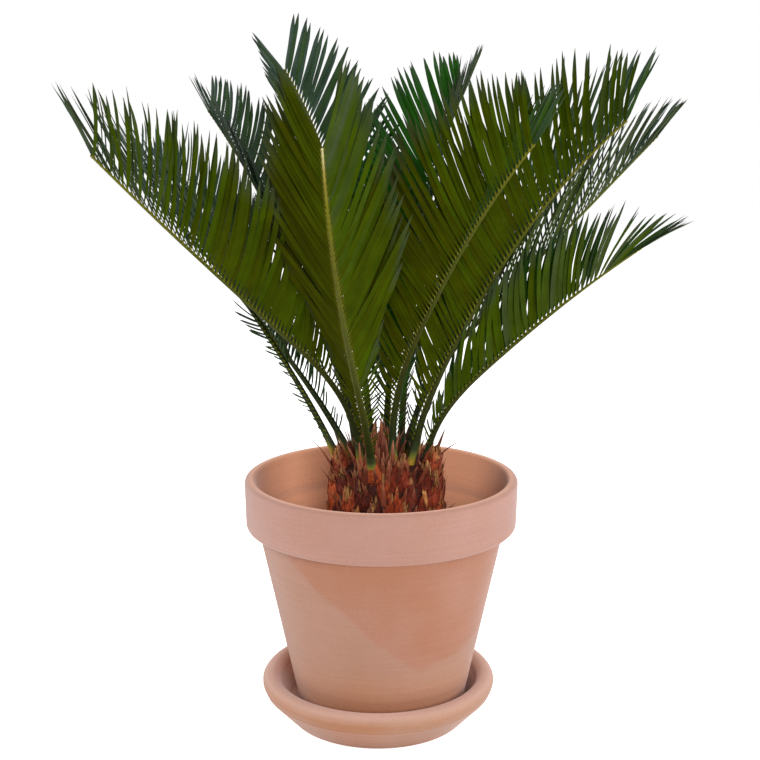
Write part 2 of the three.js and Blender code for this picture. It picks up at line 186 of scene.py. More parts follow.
def saucer_colours(tree, place):
    """The firing flushed the saucer in two tones, in soft patches of a hand's breadth, and lime from
    the water left a pale bloom on some of them. The whole inside is paler."""
    patches = add(tree, "ShaderNodeTexNoise", {"Vector": place, "Scale": 11, "Detail": 2}).outputs[0]
    flush = add(tree, "ShaderNodeMapRange", {0: patches, 1: 0.38, 2: 0.62}).outputs[0]
    flushed = add(tree, "ShaderNodeMix", {
        0: flush, 6: linear("#b8805f"), 7: linear("#b98869"),
    }, data_type="RGBA").outputs[2]
    bloom = add(tree, "ShaderNodeMapRange", {0: patches, 1: 0.45, 2: 0.7, 4: 0.35}).outputs[0]
    patched = add(tree, "ShaderNodeMix", {
        0: bloom, 6: flushed, 7: linear("#c09884"),
    }, data_type="RGBA").outputs[2]
    flat = add(tree, "ShaderNodeMapping", {"Vector": place, "Scale": (1, 1, 0)}).outputs[0]
    radius = add(tree, "ShaderNodeVectorMath", {0: flat}, operation="LENGTH").outputs["Value"]
    height = add(tree, "ShaderNodeSeparateXYZ", {0: place}).outputs[2]
    wall = add(tree, "ShaderNodeMath", {
        0: height, 1: SAUCER_WALL_SLOPE, 2: SAUCER_FOOT_RADIUS * MM,
    }, operation="MULTIPLY_ADD").outputs[0]
    depth = add(tree, "ShaderNodeMath", {0: wall, 1: radius}, operation="SUBTRACT").outputs[0]
    inside = add(tree, "ShaderNodeMapRange", {0: depth, 1: 4 * MM, 2: 14 * MM}).outputs[0]
    return add(tree, "ShaderNodeMix", {
        0: inside, 6: patched, 7: linear("#cda391"),
    }, data_type="RGBA").outputs[2]


saucer_lip = SAUCER_RADIUS - SAUCER_LIP_ROLL
saucer_outline = [
    (0, 0),
    *arc(SAUCER_FOOT_RADIUS - SAUCER_FOOT_ROUND, SAUCER_FOOT_ROUND, SAUCER_FOOT_ROUND, -90, -35, 4),
    (SAUCER_WALL_RADIUS, SAUCER_LIP_UNDERSIDE),
    *arc(saucer_lip, SAUCER_LIP_UNDERSIDE + SAUCER_LIP_ROLL, SAUCER_LIP_ROLL, -20, 190, 22),
    *arc(SAUCER_FLOOR_RADIUS, SAUCER_FLOOR_TOP + SAUCER_FLOOR_ROUND, SAUCER_FLOOR_ROUND, -40, -90, 6),
    (0, SAUCER_FLOOR_TOP),
]
saucer = turned(
    "saucer_turned", stepped(saucer_outline, SAUCER_STEP), SAUCER_RING_SPACING, SAUCER_RING_DEPTH,
)
saucer.data.materials.append(fired_clay("terracotta_of_the_saucer", saucer_colours))
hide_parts("saucer")
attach(saucer, "root")

# Pot.
# The classic clay flowerpot: a tapered body under a tall band that stiffens the rim. It is turned in
# one piece from the saucer's clay, and its band has dried paler than its body.
POT_SHIFT = 3
POT_FOOT_RADIUS = 82.9
POT_FOOT_ROUND = 2
POT_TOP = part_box("pot")[1].z / MM
POT_RIM_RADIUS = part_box("pot")[1].x / MM - POT_SHIFT
POT_LIP_ROUND = 4.4
POT_LIP_INNER_ROUND = 3
BAND_BOTTOM = 199.2
BAND_BOTTOM_RADIUS = 134
BAND_ROUND = 5
BAND_COVE = 1.6
BODY_TOP_RADIUS = 122.3
POT_WALL = 10
POT_FLOOR = 12
BAND_INSIDE_RADIUS = 121
BAND_INSIDE_BOTTOM = 206
BODY_INSIDE_TOP = 192
POT_RING_SPACING = 9.5
POT_RING_DEPTH = 0.13
POT_STEP = 2
POT_MID_WALL_SLOPE = 0.225
POT_MID_WALL_FOOT = 79.5

# The tide line falls from the left and climbs to the right. Each slope stands with its height on the
# plant's axis in metres, and the rounding and the wander of the line are in metres too.
TIDE_FALL = (-0.97, 0.094)
TIDE_CLIMB = (0.5, 0.04)
TIDE_ROUNDING = 0.02
TIDE_WANDER = 0.03


def pot_colours(tree, place):
    """A tide line crosses the front of the pot, where damp clay has dried, with paler clay below it.
    Soft patches lie elsewhere, and the foot is browner. Bloom covers the band's outside. The inside
    of the pot has no bloom and is painted brighter: partly painted light, for the light that falls into it."""
    wander = add(tree, "ShaderNodeTexNoise", {"Vector": place, "Scale": 14, "Detail": 3}).outputs[0]
    x, y, z = add(tree, "ShaderNodeSeparateXYZ", {0: place}).outputs
    falling, climbing = (
        add(tree, "ShaderNodeMath", {0: x, 1: slope, 2: height}, operation="MULTIPLY_ADD").outputs[0]
        for slope, height in (TIDE_FALL, TIDE_CLIMB)
    )
    line = add(tree, "ShaderNodeMath", {
        0: falling, 1: climbing, 2: TIDE_ROUNDING,
    }, operation="SMOOTH_MAX").outputs[0]
    edge = add(tree, "ShaderNodeMath", {
        0: wander, 1: TIDE_WANDER, 2: line,
    }, operation="MULTIPLY_ADD").outputs[0]
    above = add(tree, "ShaderNodeMath", {0: z, 1: edge}, operation="SUBTRACT").outputs[0]
    tide = add(tree, "ShaderNodeMapRange", {
        0: above, 1: -4 * MM, 2: 6 * MM,
    }, interpolation_type="SMOOTHSTEP").outputs[0]
    front = add(tree, "ShaderNodeMapRange", {0: y, 1: 20 * MM, 2: -50 * MM}).outputs[0]
    patches = add(tree, "ShaderNodeMapRange", {0: wander, 1: 0.35, 2: 0.65}).outputs[0]
    tone = add(tree, "ShaderNodeMix", {0: front, 2: patches, 3: tide}).outputs[0]
    on_axis = add(tree, "ShaderNodeMapping", {
        "Vector": place, "Location": (-POT_SHIFT * MM, 0, 0), "Scale": (1, 1, 0),
    }).outputs[0]
    radius = add(tree, "ShaderNodeVectorMath", {0: on_axis}, operation="LENGTH").outputs["Value"]
    wall = add(tree, "ShaderNodeMath", {
        0: z, 1: POT_MID_WALL_SLOPE, 2: POT_MID_WALL_FOOT * MM,
    }, operation="MULTIPLY_ADD").outputs[0]
    depth = add(tree, "ShaderNodeMath", {0: wall, 1: radius}, operation="SUBTRACT").outputs[0]
    inside = add(tree, "ShaderNodeMapRange", {0: depth, 1: 2 * MM, 2: 6 * MM}).outputs[0]
    band = add(tree, "ShaderNodeMapRange", {0: z, 1: 196 * MM, 2: 200 * MM}).outputs[0]
    cloudy = add(tree, "ShaderNodeMapRange", {0: wander, 1: 0.4, 2: 0.7, 4: 0.35}).outputs[0]
    bloom = add(tree, "ShaderNodeMath", {0: band, 1: 0.7, 2: cloudy}, operation="MULTIPLY_ADD").outputs[0]
    toned = add(tree, "ShaderNodeMix", {
        0: tone, 6: linear("#b48770"), 7: linear("#b37b60"),
    }, data_type="RGBA").outputs[2]
    dusty = add(tree, "ShaderNodeMix", {
        0: bloom, 6: toned, 7: linear("#bf9487"),
    }, data_type="RGBA").outputs[2]
    foot = add(tree, "ShaderNodeMapRange", {0: z, 1: 85 * MM, 2: 20 * MM, 4: 0.75}).outputs[0]
    browned = add(tree, "ShaderNodeMix", {
        0: foot, 6: dusty, 7: linear("#cc8c5e"),
    }, data_type="RGBA").outputs[2]
    # Painted light: the inside of the pot is painted brighter than its outside, standing in for the light
    # that falls into it.
    return add(tree, "ShaderNodeMix", {
        0: inside, 6: browned, 7: linear("#e9a682"),
    }, data_type="RGBA").outputs[2]


pot_floor_top = SAUCER_FLOOR_TOP + POT_FLOOR
pot_inner_rim = POT_RIM_RADIUS - POT_WALL + POT_LIP_INNER_ROUND


def pot_inside(height):
    """Radius of the pot's inner wall at a height between its floor and its band."""
    heights = (pot_floor_top, BODY_INSIDE_TOP)
    return np.interp(height, heights, (POT_FOOT_RADIUS - POT_WALL, BODY_TOP_RADIUS - POT_WALL))


pot_outline = [
    (0, SAUCER_FLOOR_TOP),
    *arc(POT_FOOT_RADIUS - POT_FOOT_ROUND, SAUCER_FLOOR_TOP + POT_FOOT_ROUND, POT_FOOT_ROUND, -90, 0, 5),
    (BODY_TOP_RADIUS - BAND_COVE / 4, BAND_BOTTOM - BAND_COVE),
    (BODY_TOP_RADIUS + BAND_COVE, BAND_BOTTOM),
    *arc(BAND_BOTTOM_RADIUS - BAND_ROUND, BAND_BOTTOM + BAND_ROUND, BAND_ROUND, -90, 0, 8),
    *arc(POT_RIM_RADIUS - POT_LIP_ROUND, POT_TOP - POT_LIP_ROUND, POT_LIP_ROUND, 0, 90, 9),
    *arc(pot_inner_rim, POT_TOP - POT_LIP_INNER_ROUND, POT_LIP_INNER_ROUND, 90, 180, 7),
    (BAND_INSIDE_RADIUS, BAND_INSIDE_BOTTOM),
    (pot_inside(BODY_INSIDE_TOP), BODY_INSIDE_TOP),
    (pot_inside(pot_floor_top), pot_floor_top),
    (0, pot_floor_top),
]
pot = turned(
    "pot_turned", stepped(pot_outline, POT_STEP), POT_RING_SPACING, POT_RING_DEPTH, POT_SHIFT * MM,
)
pot.data.materials.append(fired_clay("terracotta_of_the_pot", pot_colours))
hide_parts("pot")
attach(pot, "root")

# Soil.
# Potting mix of peat and composted bark, filled to a hand's breadth under the rim. Its surface is
# uneven, with crumbs and chips of bark lying on it.
SOIL_STEP = 2.5
SOIL_RELIEF = 1.6
SOIL_SLOPE = 5
SOIL_WALL_GAP = 0.4
SOIL_EDGE_HEIGHT = 156
SOIL_FLAT_RADIUS = 64
SOIL_LUMPS = 90
CRUMB_DENSITY = 60000.0
CRUMB_SMALLEST = 0.9
CRUMB_LARGEST = 3.2
FULL_TURN = 6.28
soil_low, soil_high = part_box("soil")
soil_radius = (soil_high.x - soil_low.x) / 2


def potting_mix(name, tones):
    """Moist peat and bark: dull, nearly black-brown, with paler chips here and there."""
    material, tree, shader, place = surface(name, 0.95, 0.2)
    chips = add(tree, "ShaderNodeTexVoronoi", {"Vector": place, "Scale": 260}).outputs["Color"]
    grey = add(tree, "ShaderNodeRGBToBW", {0: chips}).outputs[0]
    share = add(tree, "ShaderNodeMapRange", {0: grey, 1: 0.35, 2: 0.8}).outputs[0]
    colour = add(tree, "ShaderNodeMix", {
        0: share, 6: linear(tones[0]), 7: linear(tones[1]),
    }, data_type="RGBA").outputs[2]
    tree.links.new(colour, shader.inputs["Base Color"])
    crumbs = add(tree, "ShaderNodeTexNoise", {"Vector": place, "Scale": 700, "Detail": 5}).outputs[0]
    bump = add(tree, "ShaderNodeBump", {"Strength": 0.8, "Distance": 0.8 * MM, "Height": crumbs})
    tree.links.new(bump.outputs[0], shader.inputs["Normal"])
    return material


def socket_inputs(tree, kinds):
    """Adds a tree's input sockets by name and kind, after its geometry, and its one output."""
    tree.interface.new_socket("Geometry", in_out="INPUT", socket_type="NodeSocketGeometry")
    for name, kind in kinds.items():
        tree.interface.new_socket(name, in_out="INPUT", socket_type=kind)
    tree.interface.new_socket("Geometry", in_out="OUTPUT", socket_type="NodeSocketGeometry")


def grown(holder, tree, values, name):
    """Runs a tree on an object with these values for its named inputs, and keeps the shape as a plain
    mesh in an object of its own."""
    modifier = holder.modifiers.new(tree.name, "NODES")
    modifier.node_group = tree
    for socket in tree.interface.items_tree:
        if socket.in_out == "INPUT" and socket.name in values:
            modifier[socket.identifier] = values[socket.name]
    evaluated = holder.evaluated_get(bpy.context.evaluated_depsgraph_get())
    piece = linked(name, bpy.data.meshes.new_from_object(evaluated))
    bpy.data.objects.remove(holder)
    return piece


def crumb_tree():
    """Crumbs strewn over the faces that look upward, each turned and sized in its own way."""
    tree = bpy.data.node_groups.new("strewn_crumbs", "GeometryNodeTree")
    socket_inputs(tree, {
        "Crumbs per m2": "NodeSocketFloat",
        "Smallest": "NodeSocketFloat",
        "Largest": "NodeSocketFloat",
        "Seed": "NodeSocketInt",
        "Material": "NodeSocketMaterial",
    })
    given = add(tree, "NodeGroupInput").outputs
    upright = add(tree, "ShaderNodeSeparateXYZ", {0: add(tree, "GeometryNodeInputNormal").outputs[0]})
    looks_up = add(tree, "FunctionNodeCompare", {
        0: upright.outputs[2], 1: 0.5,
    }, operation="GREATER_THAN").outputs[0]
    points = add(tree, "GeometryNodeDistributePointsOnFaces", {
        "Mesh": given["Geometry"], "Selection": looks_up, "Density": given["Crumbs per m2"],
        "Seed": given["Seed"],
    }).outputs["Points"]
    crumb = add(tree, "GeometryNodeMeshIcoSphere", {"Radius": 1, "Subdivisions": 1}).outputs[0]
    turn = add(tree, "FunctionNodeRandomValue", {
        0: (0, 0, 0), 1: (FULL_TURN, FULL_TURN, FULL_TURN), "Seed": given["Seed"],
    }, data_type="FLOAT_VECTOR").outputs[0]
    smallest = add(tree, "ShaderNodeCombineXYZ", {i: given["Smallest"] for i in range(3)}).outputs[0]
    largest = add(tree, "ShaderNodeCombineXYZ", {i: given["Largest"] for i in range(3)}).outputs[0]
    size = add(tree, "FunctionNodeRandomValue", {
        0: smallest, 1: largest, "Seed": given["Seed"],
    }, data_type="FLOAT_VECTOR").outputs[0]
    strewn = add(tree, "GeometryNodeInstanceOnPoints", {
        "Points": points, "Instance": crumb, "Rotation": turn, "Scale": size,
    }).outputs[0]
    solid = add(tree, "GeometryNodeRealizeInstances", {0: strewn}).outputs[0]
    dressed = add(tree, "GeometryNodeSetMaterial", {"Geometry": solid, "Material": given["Material"]})
    add(tree, "NodeGroupOutput", {0: dressed.outputs[0]})
    return tree


soil_outline = [
    (0, soil_low.z / MM),
    (pot_inside(soil_low.z / MM) - SOIL_WALL_GAP, soil_low.z / MM),
    (soil_radius / MM, SOIL_EDGE_HEIGHT),
    (SOIL_FLAT_RADIUS, soil_high.z / MM - SOIL_RELIEF / 2),
    (0, soil_high.z / MM - SOIL_RELIEF / 2),
]
soil = turned(
    "soil_filling", stepped(soil_outline, SOIL_STEP), ring_spacing=11, ring_depth=0,
    centre=POT_SHIFT * MM,
)
for vertex in soil.data.vertices:
    if vertex.co.z > soil_high.z - SOIL_SLOPE * MM:
        vertex.co.z += SOIL_RELIEF / 2 * MM * noise.fractal(vertex.co * SOIL_LUMPS, 0.8, 2, 4)
soil.data.materials.append(potting_mix("peat", ("#241811", "#3a281c")))
crumbs = grown(linked("soil_top", soil.data), crumb_tree(), {
    "Crumbs per m2": CRUMB_DENSITY,
    "Smallest": CRUMB_SMALLEST * MM,
    "Largest": CRUMB_LARGEST * MM,
    "Seed": 7,
    "Material": potting_mix("composted_bark", ("#2c1c12", "#5b3d26")),
}, "soil_crumbs")
for piece in (soil, crumbs):
    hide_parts("soil")
    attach(piece, "root")

# Trunk.
# A sago palm's short barrel of a trunk, wrapped in the stubs of its old fronds. Each stub is a fat,
# fibrous wedge that broke off at the top, and they overlap in spirals, as on a pineapple.
STUB_COUNT = 84
STUB_WIDTH = 25
STUB_HEIGHT = 34
STUB_DEPTH = 8
STUB_LEAN = 10
STUB_SINK = 3
STUB_SIZES = (0.72, 1.15)
STUB_TAPER = (-0.38, 0.95)
STUB_JUT = 0.4
STUB_ROUGHNESS = 10
STUB_GRAIN = 120.0
STUB_TEARING = 15
TRUNK_FOOT_RADIUS = 49
TRUNK_CROWN_RADIUS = 48
TRUNK_BELLY = 5
CORE_CROWN_RADIUS = 30
CORE_CROWN_HEIGHT = 4
CORE_PEAK_HEIGHT = 5
CORE_STEP = 2.5
CORE_RING_SPACING = 9
CORE_RING_DEPTH = 1.2
GOLDEN_ANGLE = 137.508
UP = np.array([0.0, 0.0, 1.0])
trunk_low, trunk_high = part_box("trunk")
trunk_x = (trunk_low.x + trunk_high.x) / 2
trunk_height = trunk_high.z - trunk_low.z


def barrel(share):
    """Radius of the trunk under its stubs, at a share of its height."""
    taper = TRUNK_FOOT_RADIUS + (TRUNK_CROWN_RADIUS - TRUNK_FOOT_RADIUS) * share
    return (taper + TRUNK_BELLY * np.sin(np.pi * share)) * MM


def outward(angles):
    """Level directions at these compass angles."""
    return np.stack([np.cos(angles), np.sin(angles), 0 * angles], axis=1)


def trunk_places(out, shares, depth):
    """Places on the trunk in these directions, at shares of its height and at a depth in its skin."""
    places = out * (barrel(shares) - depth)[:, None]
    places += np.array([trunk_x, 0, trunk_low.z]) + UP * (shares * trunk_height)[:, None]
    return places


def fibrous(name, tones, end_colour):
    """Old leaf bases: cork and felted fibre, rust brown to red, and paler and orange where a stub broke.
    On the barrel under the stubs it takes darker tones, as painted shade in the cracks between them.
    The attribute tint sorts the stubs, and tip marks their broken ends."""
    material, tree, shader, place = surface(name, 0.75, 0.3)
    upright = add(tree, "ShaderNodeMapping", {"Vector": place, "Scale": (620, 620, 130)}).outputs[0]
    fibres = add(tree, "ShaderNodeTexNoise", {"Vector": upright, "Scale": 1, "Detail": 4}).outputs[0]
    blotches = add(tree, "ShaderNodeTexNoise", {
        "Vector": place, "Scale": 170, "Detail": 6, "Roughness": 0.65,
    }).outputs[0]
    tint = add(tree, "ShaderNodeAttribute", attribute_name="tint").outputs["Fac"]
    tip = add(tree, "ShaderNodeAttribute", attribute_name="tip").outputs["Fac"]
    drift = add(tree, "ShaderNodeMath", {0: blotches, 1: tint}, operation="ADD").outputs[0]
    first = add(tree, "ShaderNodeMapRange", {0: drift, 1: 0.55, 2: 1.05}).outputs[0]
    second = add(tree, "ShaderNodeMapRange", {0: drift, 1: 0.95, 2: 1.45}).outputs[0]
    brown = add(tree, "ShaderNodeMix", {
        0: first, 6: linear(tones[0]), 7: linear(tones[1]),
    }, data_type="RGBA").outputs[2]
    rust = add(tree, "ShaderNodeMix", {
        0: second, 6: brown, 7: linear(tones[2]),
    }, data_type="RGBA").outputs[2]
    torn = add(tree, "ShaderNodeMath", {0: blotches, 1: 0.9, 2: tip}, operation="MULTIPLY_ADD").outputs[0]
    broken = add(tree, "ShaderNodeMapRange", {0: torn, 1: 1.1, 2: 1.5}).outputs[0]
    ended = add(tree, "ShaderNodeMix", {
        0: broken, 6: rust, 7: linear(end_colour),
    }, data_type="RGBA").outputs[2]
    light = add(tree, "ShaderNodeMapRange", {0: fibres, 1: 0.32, 2: 0.66, 3: 0.35, 4: 1.35}).outputs[0]
    colour = add(tree, "ShaderNodeHueSaturation", {"Value": light, "Color": ended}).outputs[0]
    tree.links.new(colour, shader.inputs["Base Color"])
    relief = add(tree, "ShaderNodeMath", {0: blotches, 1: fibres}, operation="ADD").outputs[0]
    bump = add(tree, "ShaderNodeBump", {"Strength": 0.7, "Distance": 1 * MM, "Height": relief})
    tree.links.new(bump.outputs[0], shader.inputs["Normal"])
    return material


def mark_points(mesh, columns):
    """Stores columns of numbers or of vectors as attributes of a mesh's points."""
    for key, values in columns.items():
        values = np.asarray(values, dtype=np.float32)
        kind, field = ("FLOAT_VECTOR", "vector") if values.ndim == 2 else ("FLOAT", "value")
        mesh.attributes.new(key, kind, "POINT").data.foreach_set(field, values.ravel())


def point_cloud(name, columns):
    """An object whose mesh is only points. The column root places them, and all are attributes."""
    mesh = bpy.data.meshes.new(name)
    mesh.from_pydata([tuple(point) for point in columns["root"]], [], [])
    mark_points(mesh, columns)
    return linked(name, mesh)


def stub_tree():
    """A broken wedge on every point, with its foot in the trunk, upright along aim and out along face.
    After the wedges are real, noise roughens each of them in its own way and tears its top."""
    tree = bpy.data.node_groups.new("frond_stubs", "GeometryNodeTree")
    socket_inputs(tree, {
        "Width": "NodeSocketFloat",
        "Height": "NodeSocketFloat",
        "Depth": "NodeSocketFloat",
        "Roughness": "NodeSocketFloat",
        "Grain": "NodeSocketFloat",
        "Tearing": "NodeSocketFloat",
        "Material": "NodeSocketMaterial",
    })
    given = add(tree, "NodeGroupInput").outputs
    ball = add(tree, "GeometryNodeMeshIcoSphere", {"Radius": 1, "Subdivisions": 4}).outputs[0]
    place = add(tree, "GeometryNodeInputPosition").outputs[0]
    x, y, z = add(tree, "ShaderNodeSeparateXYZ", {0: place}).outputs
    narrow = add(tree, "ShaderNodeMath", {
        0: z, 1: STUB_TAPER[0], 2: STUB_TAPER[1],
    }, operation="MULTIPLY_ADD").outputs[0]
    across = add(tree, "ShaderNodeMath", {0: x, 1: narrow}, operation="MULTIPLY").outputs[0]
    over = add(tree, "ShaderNodeMath", {0: z, 1: 0}, operation="MAXIMUM").outputs[0]
    jut = add(tree, "ShaderNodeMath", {0: over, 1: over}, operation="MULTIPLY").outputs[0]
    out = add(tree, "ShaderNodeMath", {0: jut, 1: STUB_JUT, 2: y}, operation="MULTIPLY_ADD").outputs[0]
    flat_top = add(tree, "ShaderNodeMapRange", {0: z, 1: 0.7, 2: 1, 3: 0.7, 4: 0.8}).outputs[0]
    rise = add(tree, "ShaderNodeMath", {0: z, 1: flat_top}, operation="MINIMUM").outputs[0]
    shape = add(tree, "ShaderNodeCombineXYZ", {0: across, 1: out, 2: rise}).outputs[0]
    half_size = add(tree, "ShaderNodeCombineXYZ", {
        0: given["Width"], 1: given["Depth"], 2: given["Height"],
    }).outputs[0]
    sized = add(tree, "ShaderNodeVectorMath", {0: shape, 1: half_size}, operation="MULTIPLY").outputs[0]
    marked = add(tree, "GeometryNodeStoreNamedAttribute", {
        "Geometry": ball, "Name": "tip", "Value": over,
    }, data_type="FLOAT").outputs[0]
    wedge = add(tree, "GeometryNodeSetPosition", {"Geometry": marked, "Position": sized}).outputs[0]
    aim, face, size, tip = (
        add(tree, "GeometryNodeInputNamedAttribute", {"Name": name}, data_type=kind).outputs[0]
        for name, kind in (
            ("aim", "FLOAT_VECTOR"), ("face", "FLOAT_VECTOR"), ("size", "FLOAT"), ("tip", "FLOAT"),
        )
    )
    turn = add(tree, "FunctionNodeAxesToRotation", {0: aim, 1: face}, primary_axis="Z", secondary_axis="Y")
    set_out = add(tree, "GeometryNodeInstanceOnPoints", {
        "Points": given["Geometry"], "Instance": wedge, "Rotation": turn.outputs[0], "Scale": size,
    }).outputs[0]
    solid = add(tree, "GeometryNodeRealizeInstances", {0: set_out}).outputs[0]
    lumps = add(tree, "ShaderNodeTexNoise", {
        "Scale": given["Grain"], "Detail": 5, "Roughness": 0.68,
    }).outputs["Color"]
    centred = add(tree, "ShaderNodeVectorMath", {
        0: lumps, 1: (0.5, 0.5, 0.5),
    }, operation="SUBTRACT").outputs[0]
    push = add(tree, "ShaderNodeVectorMath", {
        0: centred, "Scale": given["Roughness"],
    }, operation="SCALE").outputs[0]
    upright = add(tree, "ShaderNodeVectorMath", {
        0: place, 1: (300, 300, 55),
    }, operation="MULTIPLY").outputs[0]
    shreds = add(tree, "ShaderNodeTexNoise", {"Vector": upright, "Scale": 1, "Detail": 2}).outputs[0]
    ragged = add(tree, "ShaderNodeMapRange", {0: shreds, 1: 0.36, 2: 0.66, 3: -0.5, 4: 1}).outputs[0]
    torn = add(tree, "ShaderNodeMath", {0: ragged, 1: tip}, operation="MULTIPLY").outputs[0]
    stretched = add(tree, "ShaderNodeMath", {0: torn, 1: given["Tearing"]}, operation="MULTIPLY")
    tear = add(tree, "ShaderNodeCombineXYZ", {2: stretched.outputs[0]}).outputs[0]
    moved = add(tree, "ShaderNodeVectorMath", {0: push, 1: tear}, operation="ADD").outputs[0]
    rough = add(tree, "GeometryNodeSetPosition", {"Geometry": solid, "Offset": moved}).outputs[0]
    smooth = add(tree, "GeometryNodeSetShadeSmooth", {"Geometry": rough}).outputs[0]
    dressed = add(tree, "GeometryNodeSetMaterial", {"Geometry": smooth, "Material": given["Material"]})
    add(tree, "NodeGroupOutput", {0: dressed.outputs[0]})
    return tree


stub_draws = np.random.default_rng(11)
stub_numbers = np.arange(STUB_COUNT)
stub_angles = np.radians(GOLDEN_ANGLE) * stub_numbers + stub_draws.normal(0, 0.03, STUB_COUNT)
stub_out = outward(stub_angles)
stub_leans = np.radians(STUB_LEAN + stub_draws.normal(0, 5, STUB_COUNT))[:, None]
stubs = grown(point_cloud("stub_points", {
    "root": trunk_places(stub_out, (stub_numbers + 0.6) / STUB_COUNT, STUB_SINK * MM),
    "aim": UP * np.cos(stub_leans) + stub_out * np.sin(stub_leans),
    "face": stub_out,
    "size": stub_draws.uniform(*STUB_SIZES, STUB_COUNT),
    "tint": stub_draws.uniform(0, 1, STUB_COUNT),
}), stub_tree(), {
    "Width": STUB_WIDTH / 2 * MM,
    "Height": STUB_HEIGHT / 2 * MM,
    "Depth": STUB_DEPTH * MM,
    "Roughness": STUB_ROUGHNESS * MM,
    "Grain": STUB_GRAIN,
    "Tearing": STUB_TEARING * MM,
    "Material": fibrous("felted_leaf_bases", ("#5c2016", "#94381c", "#b05024"), "#bd8a50"),
}, "frond_stubs")
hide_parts("trunk")
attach(stubs, "root")

core_outline = [(0, trunk_low.z / MM)]
core_outline += [(barrel(i / 12) / MM, (trunk_low.z + trunk_height * i / 12) / MM) for i in range(13)]
core_outline += [
    (CORE_CROWN_RADIUS, trunk_high.z / MM + CORE_CROWN_HEIGHT),
    (0, trunk_high.z / MM + CORE_PEAK_HEIGHT),
]
trunk_core = turned(
    "trunk_core", stepped(core_outline, CORE_STEP), CORE_RING_SPACING, CORE_RING_DEPTH, trunk_x,
)
# The barrel shows only in the cracks between the stubs, and its darker tones are painted shade there.
trunk_core.data.materials.append(
    fibrous("trunk_felt_painted_with_crack_shade", ("#4a2016", "#6b2f1f", "#843c26"), "#8b4a2c")
)
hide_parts("trunk")
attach(trunk_core, "root")

# Fronds.
# Each frond is a stiff stalk with short spines at its foot, which runs on as a rib with a row of
# leathery leaflets on either side. The rows rise into a V, and each leaflet bends toward the tip.
FROND_CLEARANCE = 0.3
STALK_WIDTH = 8.5
STALK_FLARE = 0.35
STALK_FLARE_SHARE = 0.08
RIB_TIP_WIDTH = 1.8
RIB_TAPER = 0.64
RIB_SIDES = 12
RIB_STEPS = 120
RIB_RINGS = 72
RIB_BASE = ((20, 0.9), (16, 1.3), (10, 1.5), (4, 1.25))
RIB_BASE_SHARE = 0.045
BARE_SHARE = 0.15
SPINE_SHARE = 0.07
BEND_SHARE = 0.42
LEAFLET_PITCH = 5
LEAFLET_BREADTH = 4.9
LEAFLET_ANGLE_LOW = 74
LEAFLET_LOW_FOLD = 24
LEAFLET_GROWTH_SHARE = 0.24
SPINES_LOST = 0.15
LEAFLET_CLUMPING = 0.24
LEAFLET_SHORTEST_KEPT = 0.3
LEAFLET_CLEARANCE = 4.5
JOINT_LENGTH = 3.8
JOINT_BREADTH = 2.6
JOINT_SINK = 0.8

# By how many degrees the leaflets stray from their angle and twist about their own length, and which
# share of their breadth they have. The first value is for all of them, the second is added where the
# tip wilts, and the third in the tangle near the foot.
LEAFLET_STRAY = (0.9, 2.5, 3.2)
LEAFLET_TWIST = (5, 15, 17)
LEAFLET_FULLNESS = (1, -0.28, -0.22)

# How far along a rib's colours its tip gets, on the fronds where it stays greener than elsewhere.
RIB_TIP_COLOURS = {
    "frond_front_left": 0.9,
    "frond_front_right": 0.85,
    "frond_right_front": 0.92,
    "frond_left": 0.6,
    "frond_left_rear": 0.6,
}

# A row holds a frond's name, its compass angle about the trunk (0 is +X, 90 the back), the radius of
# its foot, its length, its lean from upright at the foot, the bend above the foot, the droop toward
# the tip, the swing sideways, the turn of its blade about the rib, the length of its longest
# leaflet, and the angle that the leaflets at its tip have.
FROND_COLUMNS = (
    "name", "azimuth", "foot", "length", "lean", "kick", "droop", "swing", "roll", "leaflet", "tip_angle",
)
FRONDS = [dict(zip(FROND_COLUMNS, row)) for row in (
    ("frond_front", -101, 43, 374, 27, 18, -31, 0, 15, 116, 37),
    ("frond_front_left", -134, 28, 436, 1, 51, -4, -1, 0, 116, 42),
    ("frond_front_right", -64, 28, 395, -14, 50, 14, 8, 0, 124, 44),
    ("frond_right_front", -34, 33, 403, 12, 15, 24, 0, 0, 126, 44),
    ("frond_right_low", -16, 45, 305, 3, 42, 10, 0, 0, 92, 44),
    ("frond_right", 20, 29, 426, -2, 49, 1, 0, 0, 112, 34),
    ("frond_rear_right", 52, 31, 380, 5, 0, 32, -3, 0, 108, 36),
    ("frond_rear", 111, 23, 408, 17, -8, 28, 38, -28, 98, 42),
    ("frond_rear_left", 136, 33, 410, 9, 21, 17, 2, 0, 86, 42),
    ("frond_left_rear", 160, 30, 375, 28, 12, 13, -8, 0, 100, 42),
    ("frond_left", 174, 42, 375, 24, 8, 24, -34, 0, 96, 42),
    ("frond_back_low", 84, 43, 340, 18, 24, 24, 0, 0, 96, 42),
    ("frond_back_right_low", 42, 45, 290, 12, 22, 24, 0, 0, 90, 42),
    ("frond_back_left_low", 116, 44, 310, 18, 24, 24, 0, 0, 90, 42),
)]

